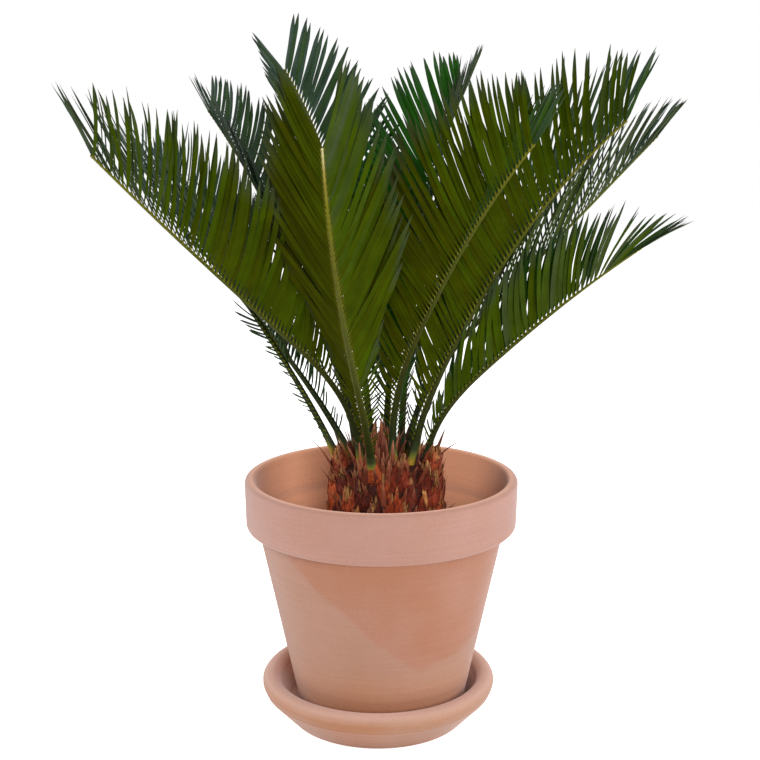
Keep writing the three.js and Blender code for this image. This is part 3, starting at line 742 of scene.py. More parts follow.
# What sets one frond's leaflets apart from another's, for the row on the side that the rib's level
# direction points to and for the other: the tone from a warm green to a greyish one, how far the
# leaflets turn about their own length, like a blind's slats, at the foot and at the tip, the share of
# the longest leaflet that the tip's leaflets have, and the share of the frond below which they are
# only spines. Then come how steeply the rows rise from the rib, how far the last leaflets gather
# toward the tip, how far each bends forward, the spines' length, how steeply the spines rise, and how
# much the last leaflets wilt, which lets them stray, twist and thin. The rows stand in the order of
# the fronds.
LEAFLET_COLUMNS = (
    "tones", "slats", "tip_shares", "combs", "rise", "gather", "bend", "spine", "spine_rise", "limpness",
)
# The greyish end of the tones is partly the leaflets' own colour and partly painted sheen.
LEAFLET_HABITS = (
    ((0.3, -0.2), ((25, 30), (26, 50)), (0.62, 0.66), (0.22, 0.2), 52, 0, 9, 12, 25, 0.5),
    ((0.25, 0.9), ((12, -52), (5, 44)), (0.52, 0.54), (0.2, 0.15), 52, 0, 14, 14, 30, 1.2),
    ((0.3, 0.05), ((-22, -15), (10, -10)), (0.38, 0.5), (0.1, 0.15), 52, 0, 9, 17, 30, 0.4),
    ((0.4, 0.15), ((5, 5), (12, -45)), (0.5, 0.5), (0.14, 0.12), 52, 0, 10, 16, 30, 0.4),
    ((0.25, 0.5), ((-8, 30), (0, 34)), (0.55, 0.55), (0.1, 0.08), 52, 38, 14, 22, 30, 1),
    ((1, 0.7), ((-62, -66), (6, 4)), (0.42, 0.42), (0.18, 0.18), 52, 16, 16, 15, 30, 1.1),
    ((-0.5, 1), ((12, 16), (-6, -12)), (0.36, 0.44), (0.12, 0.12), 52, 0, 9, 15, 30, 0.4),
    ((0.6, 0.6), ((25, 38), (10, 18)), (0.5, 0.58), (0.12, 0.12), 40, 0, 4, 15, 30, 0.4),
    ((0.8, 0.5), ((18, 20), (-4, -4)), (0.5, 0.5), (0.18, 0.18), 52, 0, 17, 14, 30, 0.7),
    ((0.8, 0.6), ((10, 0), (-38, -50)), (0.5, 0.5), (0.2, 0.13), 52, 0, 14, 15, 30, 1),
    ((0.7, 0.6), ((10, 0), (-35, -45)), (0.5, 0.5), (0.36, 0.22), 52, 0, 14, 17, -35, 1),
    ((0.5, 0.5), ((10, 20), (10, 20)), (0.5, 0.5), (0.1, 0.1), 52, 0, 12, 12, 30, 0.7),
    ((0.4, 0.4), ((10, 20), (10, 20)), (0.5, 0.5), (0.1, 0.1), 52, 0, 12, 12, 30, 0.7),
    ((0.5, 0.5), ((10, 20), (10, 20)), (0.5, 0.5), (0.1, 0.1), 52, 0, 12, 12, 30, 0.7),
)
for frond, habits in zip(FRONDS, LEAFLET_HABITS):
    frond.update(zip(LEAFLET_COLUMNS, habits))
frond_foot_height = trunk_high.z + FROND_CLEARANCE * MM


def rib_directions(frond, shares):
    """Tangent, sideways and upward directions of a frond's blade at shares of its length."""
    bent = np.minimum(1, shares / BEND_SHARE)
    azimuth = np.radians(frond["azimuth"] + frond["swing"] * shares)
    lean = np.radians(frond["lean"] + frond["kick"] * (1 - (1 - bent) ** 2) + frond["droop"] * shares ** 2)
    tangent = np.stack([
        np.sin(lean) * np.cos(azimuth), np.sin(lean) * np.sin(azimuth), np.cos(lean),
    ], axis=-1)
    level = np.stack([-np.sin(azimuth), np.cos(azimuth), 0 * azimuth], axis=-1)
    roll = np.radians(frond["roll"] * shares)[..., None]
    side = level * np.cos(roll) + np.cross(tangent, level) * np.sin(roll)
    return tangent, side, np.cross(tangent, side)


def rib_points(frond, shares):
    """Points on the middle line of a frond's rib at shares of its length."""
    tangents = rib_directions(frond, (np.arange(RIB_STEPS) + 0.5) / RIB_STEPS)[0]
    azimuth = math.radians(frond["azimuth"])
    foot = np.array([
        POT_SHIFT * MM + frond["foot"] * MM * math.cos(azimuth),
        frond["foot"] * MM * math.sin(azimuth),
        frond_foot_height,
    ])
    walked = np.vstack([foot, foot + np.cumsum(tangents, axis=0) * frond["length"] * MM / RIB_STEPS])
    stations = np.linspace(0, 1, RIB_STEPS + 1)
    return np.stack([np.interp(shares, stations, walked[:, axis]) for axis in range(3)], axis=-1)


def rib_half_width(shares):
    """Half the width of the stalk and rib. It flares where it stands on the trunk."""
    flare = 1 + STALK_FLARE * np.maximum(0, 1 - shares / STALK_FLARE_SHARE)
    taper = STALK_WIDTH * flare + (RIB_TIP_WIDTH - STALK_WIDTH * flare) * shares ** RIB_TAPER
    return taper / 2 * MM


def rib_colours(name):
    """A living stalk: it swells from a rust-red and yellow base, is dark green above that and along the
    spines, and turns olive along the leaflets, where the keel pales to gold and cream at the tip. The
    attributes share and keel place this."""
    material, tree, shader, place = surface(name, 0.5, 0.15)
    mottle = add(tree, "ShaderNodeTexNoise", {"Vector": place, "Scale": 220, "Detail": 3}).outputs[0]
    share = add(tree, "ShaderNodeAttribute", attribute_name="share").outputs["Fac"]
    keel = add(tree, "ShaderNodeAttribute", attribute_name="keel").outputs["Fac"]
    from_base = add(tree, "ShaderNodeMapRange", {0: share, 1: -RIB_BASE_SHARE, 2: 1}).outputs[0]
    below = add(tree, "ShaderNodeValToRGB", {0: from_base})
    above = add(tree, "ShaderNodeValToRGB", {0: from_base})
    for ramp, stops in (
        (below.color_ramp, {
            0: "#7c3216", 0.035: "#b06a26", 0.058: "#c8a038", 0.072: "#7f8438", 0.085: "#3c4a2c",
            0.11: "#27300e", 0.28: "#383c08", 0.57: "#4b5007", 0.76: "#5e5d08", 0.88: "#706e0c",
            0.95: "#94843a", 1: "#dccf9c",
        }),
        (above.color_ramp, {
            0: "#7c3216", 0.05: "#a8762f", 0.07: "#363f24", 0.11: "#22280e", 0.6: "#34440f", 1: "#575c1c",
        }),
    ):
        for stop, colour in stops.items():
            element = ramp.elements[-int(stop)] if stop in (0, 1) else ramp.elements.new(stop)
            element.color = linear(colour)
    blended = add(tree, "ShaderNodeMapRange", {0: keel, 1: 0.2, 2: -0.3}).outputs[0]
    colour = add(tree, "ShaderNodeMix", {
        0: blended, 6: above.outputs[0], 7: below.outputs[0],
    }, data_type="RGBA").outputs[2]
    value = add(tree, "ShaderNodeMapRange", {0: mottle, 1: 0.3, 2: 0.7, 3: 0.85, 4: 1.12}).outputs[0]
    final = add(tree, "ShaderNodeHueSaturation", {"Value": value, "Color": colour}).outputs[0]
    tree.links.new(final, shader.inputs["Base Color"])
    return material


def make_ribs():
    """All stalks and ribs as one mesh: round below and channelled above, with a swollen base that is
    sunk in the crown."""
    turns = np.radians(np.arange(RIB_SIDES) * 360 / RIB_SIDES)
    across = np.cos(turns)
    channel = 0.9 - 0.25 * np.sin(turns) ** 6
    upward = np.sin(turns) * np.where(np.sin(turns) > 0, channel, 1.0)
    deepest = RIB_BASE[0][0]
    points, faces, shares, keels = [], [], [], []
    for frond in FRONDS:
        stations = np.linspace(0, 1, RIB_RINGS) ** 1.15
        tangent, side, up = rib_directions(frond, stations)
        middle = rib_points(frond, stations)
        half = rib_half_width(stations)[:, None, None]
        rings = middle[:, None] + half * (
            side[:, None] * across[None, :, None] + up[:, None] * upward[None, :, None]
        )
        first = len(points)
        for sunk, swelling in RIB_BASE:
            points += list(middle[0] + (rings[0] - middle[0]) * swelling - tangent[0] * sunk * MM)
            shares += [-RIB_BASE_SHARE * sunk / deepest] * RIB_SIDES
        coloured = stations * RIB_TIP_COLOURS.get(frond["name"], 1.0)
        points += [*rings.reshape(-1, 3), middle[0] - tangent[0] * deepest * MM, middle[-1]]
        shares += [*np.repeat(coloured, RIB_SIDES), -RIB_BASE_SHARE, coloured[-1]]
        keels += [*np.tile(np.sin(turns), RIB_RINGS + len(RIB_BASE)), 0.0, 0.0]
        foot = len(points) - 2
        faces += tube_faces(first, foot, RIB_SIDES, foot, foot + 1)
    ribs = smooth_body("frond_ribs", points, faces)
    mark_points(ribs.data, {"share": shares, "keel": keels})
    return ribs


def smooth_step(values, low, high):
    """From 0 at low to 1 at high, with no corner at either."""
    share = np.clip((values - low) / (high - low), 0, 1)
    return share * share * (3 - 2 * share)


def clump_offsets(draws, count):
    """How many places each leaflet lies from the middle of its clump of one to three."""
    offsets = []
    while len(offsets) < count:
        size = draws.integers(1, 4)
        offsets += list(np.arange(size) - (size - 1) / 2)
    return np.array(offsets[:count])


def joined(parts):
    """Several sets of the same columns as one."""
    return {key: np.concatenate([part[key] for part in parts]) for key in parts[0]}


def leaflet_columns(frond, draws):
    """Root, directions and sizes of all leaflets of a frond, by the rule that its solid follows."""
    pairs = round(frond["length"] * (1 - SPINE_SHARE) / LEAFLET_PITCH)
    shares = SPINE_SHARE + (1 - SPINE_SHARE) * (np.arange(pairs) + 0.5) / pairs
    places = np.maximum(0, (shares - BARE_SHARE) / (1 - BARE_SHARE))
    tangent, side, up = rib_directions(frond, shares)
    middle = rib_points(frond, shares)
    half = rib_half_width(shares)[:, None]
    fall = np.maximum(0, (places - 0.55) / 0.45) ** 2
    angles = LEAFLET_ANGLE_LOW + (frond["tip_angle"] - LEAFLET_ANGLE_LOW) * places
    angles -= LEAFLET_LOW_FOLD * (1 - smooth_step(places, 0.1, 0.5))
    angles -= frond["gather"] * smooth_step(places, 0.77, 0.89)
    loose = smooth_step(places, 0.45, 0.95)
    wilt = loose * frond["limpness"]
    tangle = 1 - smooth_step(places, 0.08, 0.45)
    stray, twist, fullness = (
        usual + at_tip * wilt + at_foot * tangle
        for usual, at_tip, at_foot in (LEAFLET_STRAY, LEAFLET_TWIST, LEAFLET_FULLNESS)
    )
    rows = []
    for handed, tone, (foot_slat, tip_slat), tip_share, comb in zip(
        (1, -1), frond["tones"], frond["slats"], frond["tip_shares"], frond["combs"],
    ):
        full = frond["leaflet"] * (1 - (1 - tip_share) * fall)
        grown_share = smooth_step(shares, comb, comb + LEAFLET_GROWTH_SHARE)
        spine = frond["spine"] * np.minimum(1, 0.4 + 0.6 * shares / comb)
        risen = smooth_step(grown_share, 0, 0.5)
        rises = frond["spine_rise"] + (frond["rise"] - frond["spine_rise"]) * risen
        reach = (spine + (full - spine) * grown_share) * MM
        reach = reach * (1 + draws.normal(0, 0.035, pairs) * (1 + 8 * (grown_share < 0.02)))
        closing = LEAFLET_CLUMPING * LEAFLET_PITCH * MM * clump_offsets(draws, pairs) / reach
        closing = np.clip(closing, -0.12, 0.12)
        rise = np.radians(rises + draws.normal(0, 2.5, pairs))[:, None]
        strays = draws.normal(0, 1, pairs) * stray
        angle = (np.radians(angles + strays) + closing)[:, None]
        across = side * handed * np.cos(rise) + up * np.sin(rise)
        aim = across * np.sin(angle) + tangent * np.cos(angle)
        toward = tangent * np.sin(angle) - across * np.cos(angle)
        upper = np.cross(aim, toward) * -handed
        slat = foot_slat + (tip_slat - foot_slat) * loose + draws.normal(0, 1, pairs) * twist
        tilt = np.radians(slat)[:, None]
        rows.append({
            "root": middle + side * handed * half * 0.82 + up * half * 0.3,
            "aim": aim,
            "toward": toward,
            "face": upper * np.cos(tilt) - toward * np.sin(tilt),
            "reach": reach,
            "breadth": LEAFLET_BREADTH * MM * fullness * (0.4 + 0.6 * smooth_step(reach, 0.012, 0.06)),
            "bend": np.radians(frond["bend"] + draws.normal(0, 3, pairs)),
            "lift": draws.normal(0, 1.6, pairs) * reach / frond["leaflet"],
            "tint": np.clip(tone + 0.35 * loose + draws.normal(0, 0.13, pairs), 0, 1),
            "kept": (grown_share > 0.02) | (draws.uniform(0, 1, pairs) > SPINES_LOST),
        })
    columns = joined(rows)
    kept = columns.pop("kept")
    return {key: values[kept] for key, values in columns.items()}


def trimmed(columns, obstacles, clearance):
    """Leaflets cut short before they would pass through another frond's rib, and the rest as they
    are. A leaflet with hardly any room is left out."""
    steps = np.linspace(0.08, 1, 12)
    turned_half = 0.5 * columns["bend"][:, None, None] * steps[:, None]
    way = columns["aim"][:, None] * np.cos(turned_half) + columns["toward"][:, None] * np.sin(turned_half)
    lines = columns["root"][:, None] + way * (columns["reach"][:, None, None] * steps[:, None])
    free = np.ones(len(lines))
    for i, line in enumerate(lines):
        near = np.linalg.norm(line[:, None] - obstacles[None], axis=2).min(axis=1) < clearance
        if near.any():
            free[i] = steps[near.argmax()] - 0.08
    kept = free > LEAFLET_SHORTEST_KEPT
    short = {key: values[kept] for key, values in columns.items()}
    short["reach"] = short["reach"] * free[kept]
    return short


def blade_tree():
    """A pointed blade on every point. The column aim is the way it grows, toward the way it bends,
    and face the side that is its upper one. Its two edges roll down under a raised midrib."""
    tree = bpy.data.node_groups.new("pointed_blades", "GeometryNodeTree")
    socket_inputs(tree, {
        "Segments": "NodeSocketInt",
        "Thickness": "NodeSocketFloat",
        "Roll": "NodeSocketFloat",
        "Foot width": "NodeSocketFloat",
        "Foot length": "NodeSocketFloat",
        "Point length": "NodeSocketFloat",
        "Upper side": "NodeSocketMaterial",
        "Underside": "NodeSocketMaterial",
    })
    given = add(tree, "NodeGroupInput").outputs
    column = {
        name: add(tree, "GeometryNodeInputNamedAttribute", {"Name": name}, data_type=kind).outputs[0]
        for kind, names in (
            ("FLOAT_VECTOR", ("root", "aim", "toward", "face", "section")),
            ("FLOAT", ("reach", "breadth", "bend", "lift")),
        )
        for name in names
    }
    sleeve = add(tree, "GeometryNodeMeshCylinder", {
        "Vertices": 4, "Side Segments": given["Segments"], "Radius": 1, "Depth": 1,
    }).outputs[0]
    corner = add(tree, "GeometryNodeInputPosition").outputs[0]
    marked = add(tree, "GeometryNodeStoreNamedAttribute", {
        "Geometry": sleeve, "Name": "section", "Value": corner,
    }, data_type="FLOAT_VECTOR").outputs[0]
    set_out = add(tree, "GeometryNodeInstanceOnPoints", {
        "Points": given["Geometry"], "Instance": marked,
    }).outputs[0]
    solid = add(tree, "GeometryNodeRealizeInstances", {0: set_out}).outputs[0]
    x, y, z = add(tree, "ShaderNodeSeparateXYZ", {0: column["section"]}).outputs
    along = add(tree, "ShaderNodeMath", {0: z, 1: 0.5}, operation="ADD").outputs[0]
    turn = add(tree, "ShaderNodeMath", {0: along, 1: column["bend"]}, operation="MULTIPLY").outputs[0]
    half_turn = add(tree, "ShaderNodeMath", {0: turn, 1: 0.5}, operation="MULTIPLY").outputs[0]
    ahead = add(tree, "ShaderNodeMath", {0: half_turn}, operation="COSINE").outputs[0]
    sideward = add(tree, "ShaderNodeMath", {0: half_turn}, operation="SINE").outputs[0]
    forward = add(tree, "ShaderNodeVectorMath", {
        0: column["aim"], "Scale": ahead,
    }, operation="SCALE").outputs[0]
    aside = add(tree, "ShaderNodeVectorMath", {
        0: column["toward"], "Scale": sideward,
    }, operation="SCALE").outputs[0]
    way = add(tree, "ShaderNodeVectorMath", {0: forward, 1: aside}, operation="ADD").outputs[0]
    gone = add(tree, "ShaderNodeMath", {0: along, 1: column["reach"]}, operation="MULTIPLY").outputs[0]
    walked = add(tree, "ShaderNodeVectorMath", {0: way, "Scale": gone}, operation="SCALE").outputs[0]
    middle = add(tree, "ShaderNodeVectorMath", {0: column["root"], 1: walked}, operation="ADD").outputs[0]
    widening = add(tree, "ShaderNodeMapRange", {
        0: along, 1: 0, 2: given["Foot length"], 3: given["Foot width"], 4: 1,
    }).outputs[0]
    left = add(tree, "ShaderNodeMath", {0: 1, 1: along}, operation="SUBTRACT").outputs[0]
    narrowing = add(tree, "ShaderNodeMapRange", {0: left, 1: 0, 2: given["Point length"], 3: 0.03, 4: 1})
    pointed = add(tree, "ShaderNodeMath", {0: narrowing.outputs[0], 1: 0.75}, operation="POWER").outputs[0]
    fullness = add(tree, "ShaderNodeMath", {0: widening, 1: pointed}, operation="MULTIPLY").outputs[0]
    breadth = add(tree, "ShaderNodeMath", {
        0: column["breadth"], 1: fullness,
    }, operation="MULTIPLY").outputs[0]
    half_breadth = add(tree, "ShaderNodeMath", {0: breadth, 1: 0.5}, operation="MULTIPLY").outputs[0]
    sideways = add(tree, "ShaderNodeMath", {0: x, 1: half_breadth}, operation="MULTIPLY").outputs[0]
    edge = add(tree, "ShaderNodeVectorMath", {
        0: column["face"], 1: column["aim"],
    }, operation="CROSS_PRODUCT")
    spread = add(tree, "ShaderNodeVectorMath", {
        0: edge.outputs[0], "Scale": sideways,
    }, operation="SCALE").outputs[0]
    depth = add(tree, "ShaderNodeMath", {0: given["Thickness"], 1: pointed}, operation="MULTIPLY").outputs[0]
    body = add(tree, "ShaderNodeMath", {0: y, 1: depth}, operation="MULTIPLY").outputs[0]
    off_middle = add(tree, "ShaderNodeMath", {0: sideways}, operation="ABSOLUTE").outputs[0]
    rolled = add(tree, "ShaderNodeMath", {0: off_middle, 1: given["Roll"]}, operation="MULTIPLY").outputs[0]
    squared = add(tree, "ShaderNodeMath", {0: along, 1: along}, operation="MULTIPLY").outputs[0]
    half_body = add(tree, "ShaderNodeMath", {0: body, 1: 0.5}, operation="MULTIPLY").outputs[0]
    raised = add(tree, "ShaderNodeMath", {
        0: squared, 1: column["lift"], 2: half_body,
    }, operation="MULTIPLY_ADD").outputs[0]
    height = add(tree, "ShaderNodeMath", {0: raised, 1: rolled}, operation="SUBTRACT").outputs[0]
    upward = add(tree, "ShaderNodeVectorMath", {
        0: column["face"], "Scale": height,
    }, operation="SCALE").outputs[0]
    skin = add(tree, "ShaderNodeVectorMath", {0: spread, 1: upward}, operation="ADD").outputs[0]
    place = add(tree, "ShaderNodeVectorMath", {0: middle, 1: skin}, operation="ADD").outputs[0]
    shaped = add(tree, "GeometryNodeSetPosition", {"Geometry": solid, "Position": place}).outputs[0]
    kept = add(tree, "GeometryNodeStoreNamedAttribute", {
        "Geometry": shaped, "Name": "along", "Value": along,
    }, data_type="FLOAT").outputs[0]
    is_upper = add(tree, "FunctionNodeCompare", {0: y, 1: 0.1}, operation="GREATER_THAN").outputs[0]
    below = add(tree, "GeometryNodeSetMaterial", {
        "Geometry": kept, "Material": given["Underside"],
    }).outputs[0]
    both = add(tree, "GeometryNodeSetMaterial", {
        "Geometry": below, "Selection": is_upper, "Material": given["Upper side"],
    }).outputs[0]
    add(tree, "NodeGroupOutput", {0: both})
    return tree


def leaf_skin(name, tones, foot_colour, roughness, gloss):
    """A leathery cycad leaflet: waxed and dark above, matt and olive below, with a yellowish foot and
    a dry, greyish point. The attribute tint gives each leaflet its own place among three tones."""
    material, tree, shader, place = surface(name, roughness, gloss)
    cloud = add(tree, "ShaderNodeTexNoise", {"Vector": place, "Scale": 45, "Detail": 3}).outputs[0]
    tint = add(tree, "ShaderNodeAttribute", attribute_name="tint").outputs["Fac"]
    along = add(tree, "ShaderNodeAttribute", attribute_name="along").outputs["Fac"]
    green = add(tree, "ShaderNodeValToRGB", {0: tint})
    green.color_ramp.elements.new(0.5)
    for element, tone in zip(green.color_ramp.elements, tones):
        element.color = linear(tone)
    foot = add(tree, "ShaderNodeMapRange", {0: along, 1: 0.05, 2: 0, 4: 0.8}).outputs[0]
    footed = add(tree, "ShaderNodeMix", {
        0: foot, 6: green.outputs[0], 7: linear(foot_colour),
    }, data_type="RGBA").outputs[2]
    value = add(tree, "ShaderNodeMapRange", {0: cloud, 1: 0.3, 2: 0.7, 3: 0.8, 4: 1.18}).outputs[0]
    point = add(tree, "ShaderNodeMapRange", {0: along, 1: 0.72, 2: 1, 4: 0.7}).outputs[0]
    pointed = add(tree, "ShaderNodeMix", {
        0: point, 6: footed, 7: linear("#3b443a"),
    }, data_type="RGBA").outputs[2]
    colour = add(tree, "ShaderNodeHueSaturation", {"Value": value, "Color": pointed}).outputs[0]
    tree.links.new(colour, shader.inputs["Base Color"])
    wax = add(tree, "ShaderNodeMapRange", {
        0: cloud, 1: 0.3, 2: 0.7, 3: roughness, 4: roughness + 0.12,
    }).outputs[0]
    tree.links.new(wax, shader.inputs["Roughness"])
    return material


# What each blade's shape is made of: the steps along it, its thickness, how far its edges roll down,
# the width of its foot, and the shares of its length over which it widens and comes to a point.
BLADE_SHAPE = ("Segments", "Thickness", "Roll", "Foot width", "Foot length", "Point length")
LEAFLET_SHAPE = (9, 0.7 * MM, 0.3, 0.36, 0.14, 0.2)
JOINT_SHAPE = (3, 2.2 * MM, 0.0, 1.0, 0.1, 0.9)
blades = blade_tree()


def grow_blades(name, cloud_name, columns, shape, upper_side, underside):
    """A piece made of blades, from their columns, their common shape and their two skins."""
    return grown(point_cloud(cloud_name, columns), blades, {
        **dict(zip(BLADE_SHAPE, shape)), "Upper side": upper_side, "Underside": underside,
    }, name)


ribs = make_ribs()
ribs.data.materials.append(rib_colours("waxy_stalk_skin"))
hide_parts(*[frond["name"] for frond in FRONDS])
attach(ribs, "root")

# The third, greyish tone of each skin is partly the leaflets' own colour and partly painted sheen: a grey
# reflection laid into the colour.
upper_skin = leaf_skin("waxed_leaflet_upper_side", ("#1f5606", "#304e0a", "#3a4f40"), "#5c5a16", 0.36, 0.15)
under_skin = leaf_skin("matt_leaflet_underside", ("#3a3e00", "#3b4d02", "#434d34"), "#5c5a14", 0.6, 0.02)
joint_skin = leaf_skin("swollen_leaflet_foot", ("#74701a", "#6a6a16", "#5a641c"), "#84782a", 0.5, 0.1)
rib_line = np.linspace(0, 1, RIB_STEPS + 1)
all_columns = []
for number, frond in enumerate(FRONDS):
    others = np.concatenate([rib_points(other, rib_line) for other in FRONDS if other is not frond])
    untrimmed = leaflet_columns(frond, np.random.default_rng(100 + number))
    all_columns.append(trimmed(untrimmed, others, LEAFLET_CLEARANCE * MM))
    leaflets = grow_blades(
        frond["name"] + "_leaflets", "leaflet_points", all_columns[-1], LEAFLET_SHAPE,
        upper_skin, under_skin,
    )
    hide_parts(frond["name"])
    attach(leaflets, "root")

joint_columns = joined(all_columns)
joint_count = len(joint_columns["reach"])
joint_columns["reach"] = np.full(joint_count, JOINT_LENGTH * MM)
joint_columns["breadth"] = np.full(joint_count, JOINT_BREADTH * MM)
joint_columns["lift"] = np.zeros(joint_count)
joint_columns["root"] = joint_columns["root"] - JOINT_SINK * MM * joint_columns["aim"]
joints = grow_blades(
    "leaflet_joints", "joint_points", joint_columns, JOINT_SHAPE, joint_skin, joint_skin,
)
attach(joints, "root")

# Crown scales.
# Narrow, pointed scale leaves stand between the stalks and round the trunk. They are dry, papery and
# pinkish brown with pale edges, and wiry fibres of rotted stalks curl out among them.
SCALE_COUNT = 150
SCALE_BREADTH = (4.5, 8)
SCALE_LENGTH = (16, 42)
SCALE_RADII = (14, 52)
SCALE_SINK = 3
SCALE_LEAN = (2, 20)
FLANK_SCALE_COUNT = 150
FLANK_SCALE_LENGTH = (14, 32)
FLANK_SCALE_GAP = 1
FIBRE_COUNT = 170
FIBRE_BREADTH = 0.55
FIBRE_LENGTH = (6, 17)
FIBRE_RADII = (20, 56)
FIBRE_SINK = 2
HANGING_FIBRE_RADIUS = 48
HANGING_FIBRE_DEPTH = 75
CROWN_FALL = 9
SCALE_SHAPE = (8, 1.1 * MM, -0.45, 0.9, 0.2, 0.85)
FIBRE_SHAPE = (6, FIBRE_BREADTH * MM, 0.0, 1.0, 0.1, 0.7)


def papery(name, tones, edge_colour):
    """Dry scale leaves: streaked lengthwise, dull, paler toward the point. The attribute tint sorts
    them from dark to light, and along runs from the foot to the point."""
    material, tree, shader, place = surface(name, 0.7, 0.3)
    upright = add(tree, "ShaderNodeMapping", {"Vector": place, "Scale": (900, 900, 90)}).outputs[0]
    streaks = add(tree, "ShaderNodeTexNoise", {"Vector": upright, "Scale": 1, "Detail": 4}).outputs[0]
    tint = add(tree, "ShaderNodeAttribute", attribute_name="tint").outputs["Fac"]
    along = add(tree, "ShaderNodeAttribute", attribute_name="along").outputs["Fac"]
    body = add(tree, "ShaderNodeMix", {0: tint, 6: linear(tones[0]), 7: linear(tones[1])}, data_type="RGBA")
    faded = add(tree, "ShaderNodeMapRange", {0: along, 1: 0.55, 2: 1, 4: 0.6}).outputs[0]
    tipped = add(tree, "ShaderNodeMix", {
        0: faded, 6: body.outputs[2], 7: linear(edge_colour),
    }, data_type="RGBA").outputs[2]
    value = add(tree, "ShaderNodeMapRange", {0: streaks, 1: 0.3, 2: 0.7, 3: 0.6, 4: 1.25}).outputs[0]
    colour = add(tree, "ShaderNodeHueSaturation", {"Value": value, "Color": tipped}).outputs[0]
    tree.links.new(colour, shader.inputs["Base Color"])
    bump = add(tree, "ShaderNodeBump", {"Strength": 0.5, "Distance": 0.5 * MM, "Height": streaks})
    tree.links.new(bump.outputs[0], shader.inputs["Normal"])
    return material


def upright_blades(centres, angles, leans, reaches, breadths, bends, draws):
    """Columns for blades that lean outward from the plant's axis by their own angle. All angles are in
    radians, and a positive bend carries the point farther out."""
    out = outward(angles)
    lean = leans[:, None]
    return {
        "root": centres,
        "aim": UP * np.cos(lean) + out * np.sin(lean),
        "toward": out * np.cos(lean) - UP * np.sin(lean),
        "face": UP * np.sin(lean) - out * np.cos(lean),
        "reach": reaches,
        "breadth": breadths,
        "bend": bends,
        "lift": draws.normal(0, 1 * MM, len(reaches)),
        "tint": draws.uniform(0, 1, len(reaches)),
    }


def round_crown(draws, count, inner, outer, sink):
    """Places on the trunk's crown between two radii, with their compass angles and their distances
    from the pot's axis."""
    angles = draws.uniform(0, 2 * math.pi, count)
    radii = np.sqrt(draws.uniform(inner ** 2, outer ** 2, count))
    centres = POT_SHIFT * MM + (trunk_x - POT_SHIFT * MM) * radii / outer
    heights = trunk_high.z - sink - CROWN_FALL * MM * (radii / outer) ** 4
    places = np.stack([centres + radii * np.cos(angles), radii * np.sin(angles), heights], axis=1)
    return places, angles, radii


scale_draws = np.random.default_rng(23)
scale_inner, scale_outer = (radius * MM for radius in SCALE_RADII)
scale_roots, scale_angles, scale_radii = round_crown(
    scale_draws, SCALE_COUNT, scale_inner, scale_outer, SCALE_SINK * MM,
)
scale_leans = SCALE_LEAN[0] + SCALE_LEAN[1] * (scale_radii / scale_outer) ** 2
crown_columns = upright_blades(
    scale_roots,
    scale_angles + scale_draws.normal(0, 0.25, SCALE_COUNT),
    np.radians(scale_leans + scale_draws.normal(0, 6, SCALE_COUNT)),
    scale_draws.uniform(*SCALE_LENGTH, SCALE_COUNT) * MM,
    scale_draws.uniform(*SCALE_BREADTH, SCALE_COUNT) * MM,
    np.radians(scale_draws.normal(12, 22, SCALE_COUNT)),
    scale_draws,
)
flank_angles = scale_draws.uniform(0, 2 * math.pi, FLANK_SCALE_COUNT)
flank_shares = scale_draws.uniform(0.05, 0.92, FLANK_SCALE_COUNT)
flank_columns = upright_blades(
    trunk_places(outward(flank_angles), flank_shares, -FLANK_SCALE_GAP * MM),
    flank_angles,
    np.radians(scale_draws.normal(7, 5, FLANK_SCALE_COUNT)),
    scale_draws.uniform(*FLANK_SCALE_LENGTH, FLANK_SCALE_COUNT) * MM,
    scale_draws.uniform(*SCALE_BREADTH, FLANK_SCALE_COUNT) * MM,
    np.radians(scale_draws.normal(10, 20, FLANK_SCALE_COUNT)),
    scale_draws,
)
scales = grow_blades(
    "crown_scales", "scale_points", joined([crown_columns, flank_columns]), SCALE_SHAPE,
    papery("papery_scale_inside", ("#6a3022", "#a8664a"), "#cc9670"),
    papery("papery_scale_outside", ("#642a1e", "#a0563a"), "#c58c66"),
)

fibre_inner, fibre_outer = (radius * MM for radius in FIBRE_RADII)
fibre_roots, fibre_angles, fibre_radii = round_crown(
    scale_draws, FIBRE_COUNT, fibre_inner, fibre_outer, FIBRE_SINK * MM,
)
hanging = fibre_radii > HANGING_FIBRE_RADIUS * MM
fibre_depths = scale_draws.uniform(0, HANGING_FIBRE_DEPTH * MM, FIBRE_COUNT)
fibre_roots -= UP * (fibre_depths * hanging)[:, None]
fibre_columns = upright_blades(
    fibre_roots,
    fibre_angles + scale_draws.normal(0, 0.7, FIBRE_COUNT),
    np.radians(scale_draws.uniform(15, 100, FIBRE_COUNT)),
    scale_draws.uniform(*FIBRE_LENGTH, FIBRE_COUNT) * MM,
    np.full(FIBRE_COUNT, FIBRE_BREADTH * MM),
    np.radians(scale_draws.normal(10, 55, FIBRE_COUNT)),
    scale_draws,
)
fibres = grow_blades(
    "crown_fibres", "fibre_points", fibre_columns, FIBRE_SHAPE,
    papery("wiry_fibre", ("#2c1a12", "#8a6340"), "#a98459"),
    papery("wiry_fibre_underside", ("#26160f", "#6d4b30"), "#8f6c46"),
)
for piece in (scales, fibres):
    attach(piece, "root")

# Bud.
# The next fronds wait in the middle of the crown, wrapped in woolly, red-brown scales that close
# over each other into a few soft spears.
SPEAR_SCALES = 9
SPEAR_RADIUS = 5
SPEAR_SINK = 2
SPEAR_CLOSING = -2.2
BUD_SHAPE = (12, 1.6 * MM, -0.5, 0.9, 0.15, 0.8)

# Where each spear stands, to the right of the pot's axis and behind it, and its height.
SPEARS = ((0, 0, 46), (-7, 2, 40), (6, 5, 37), (2, -7, 34), (-3, 8, 31))

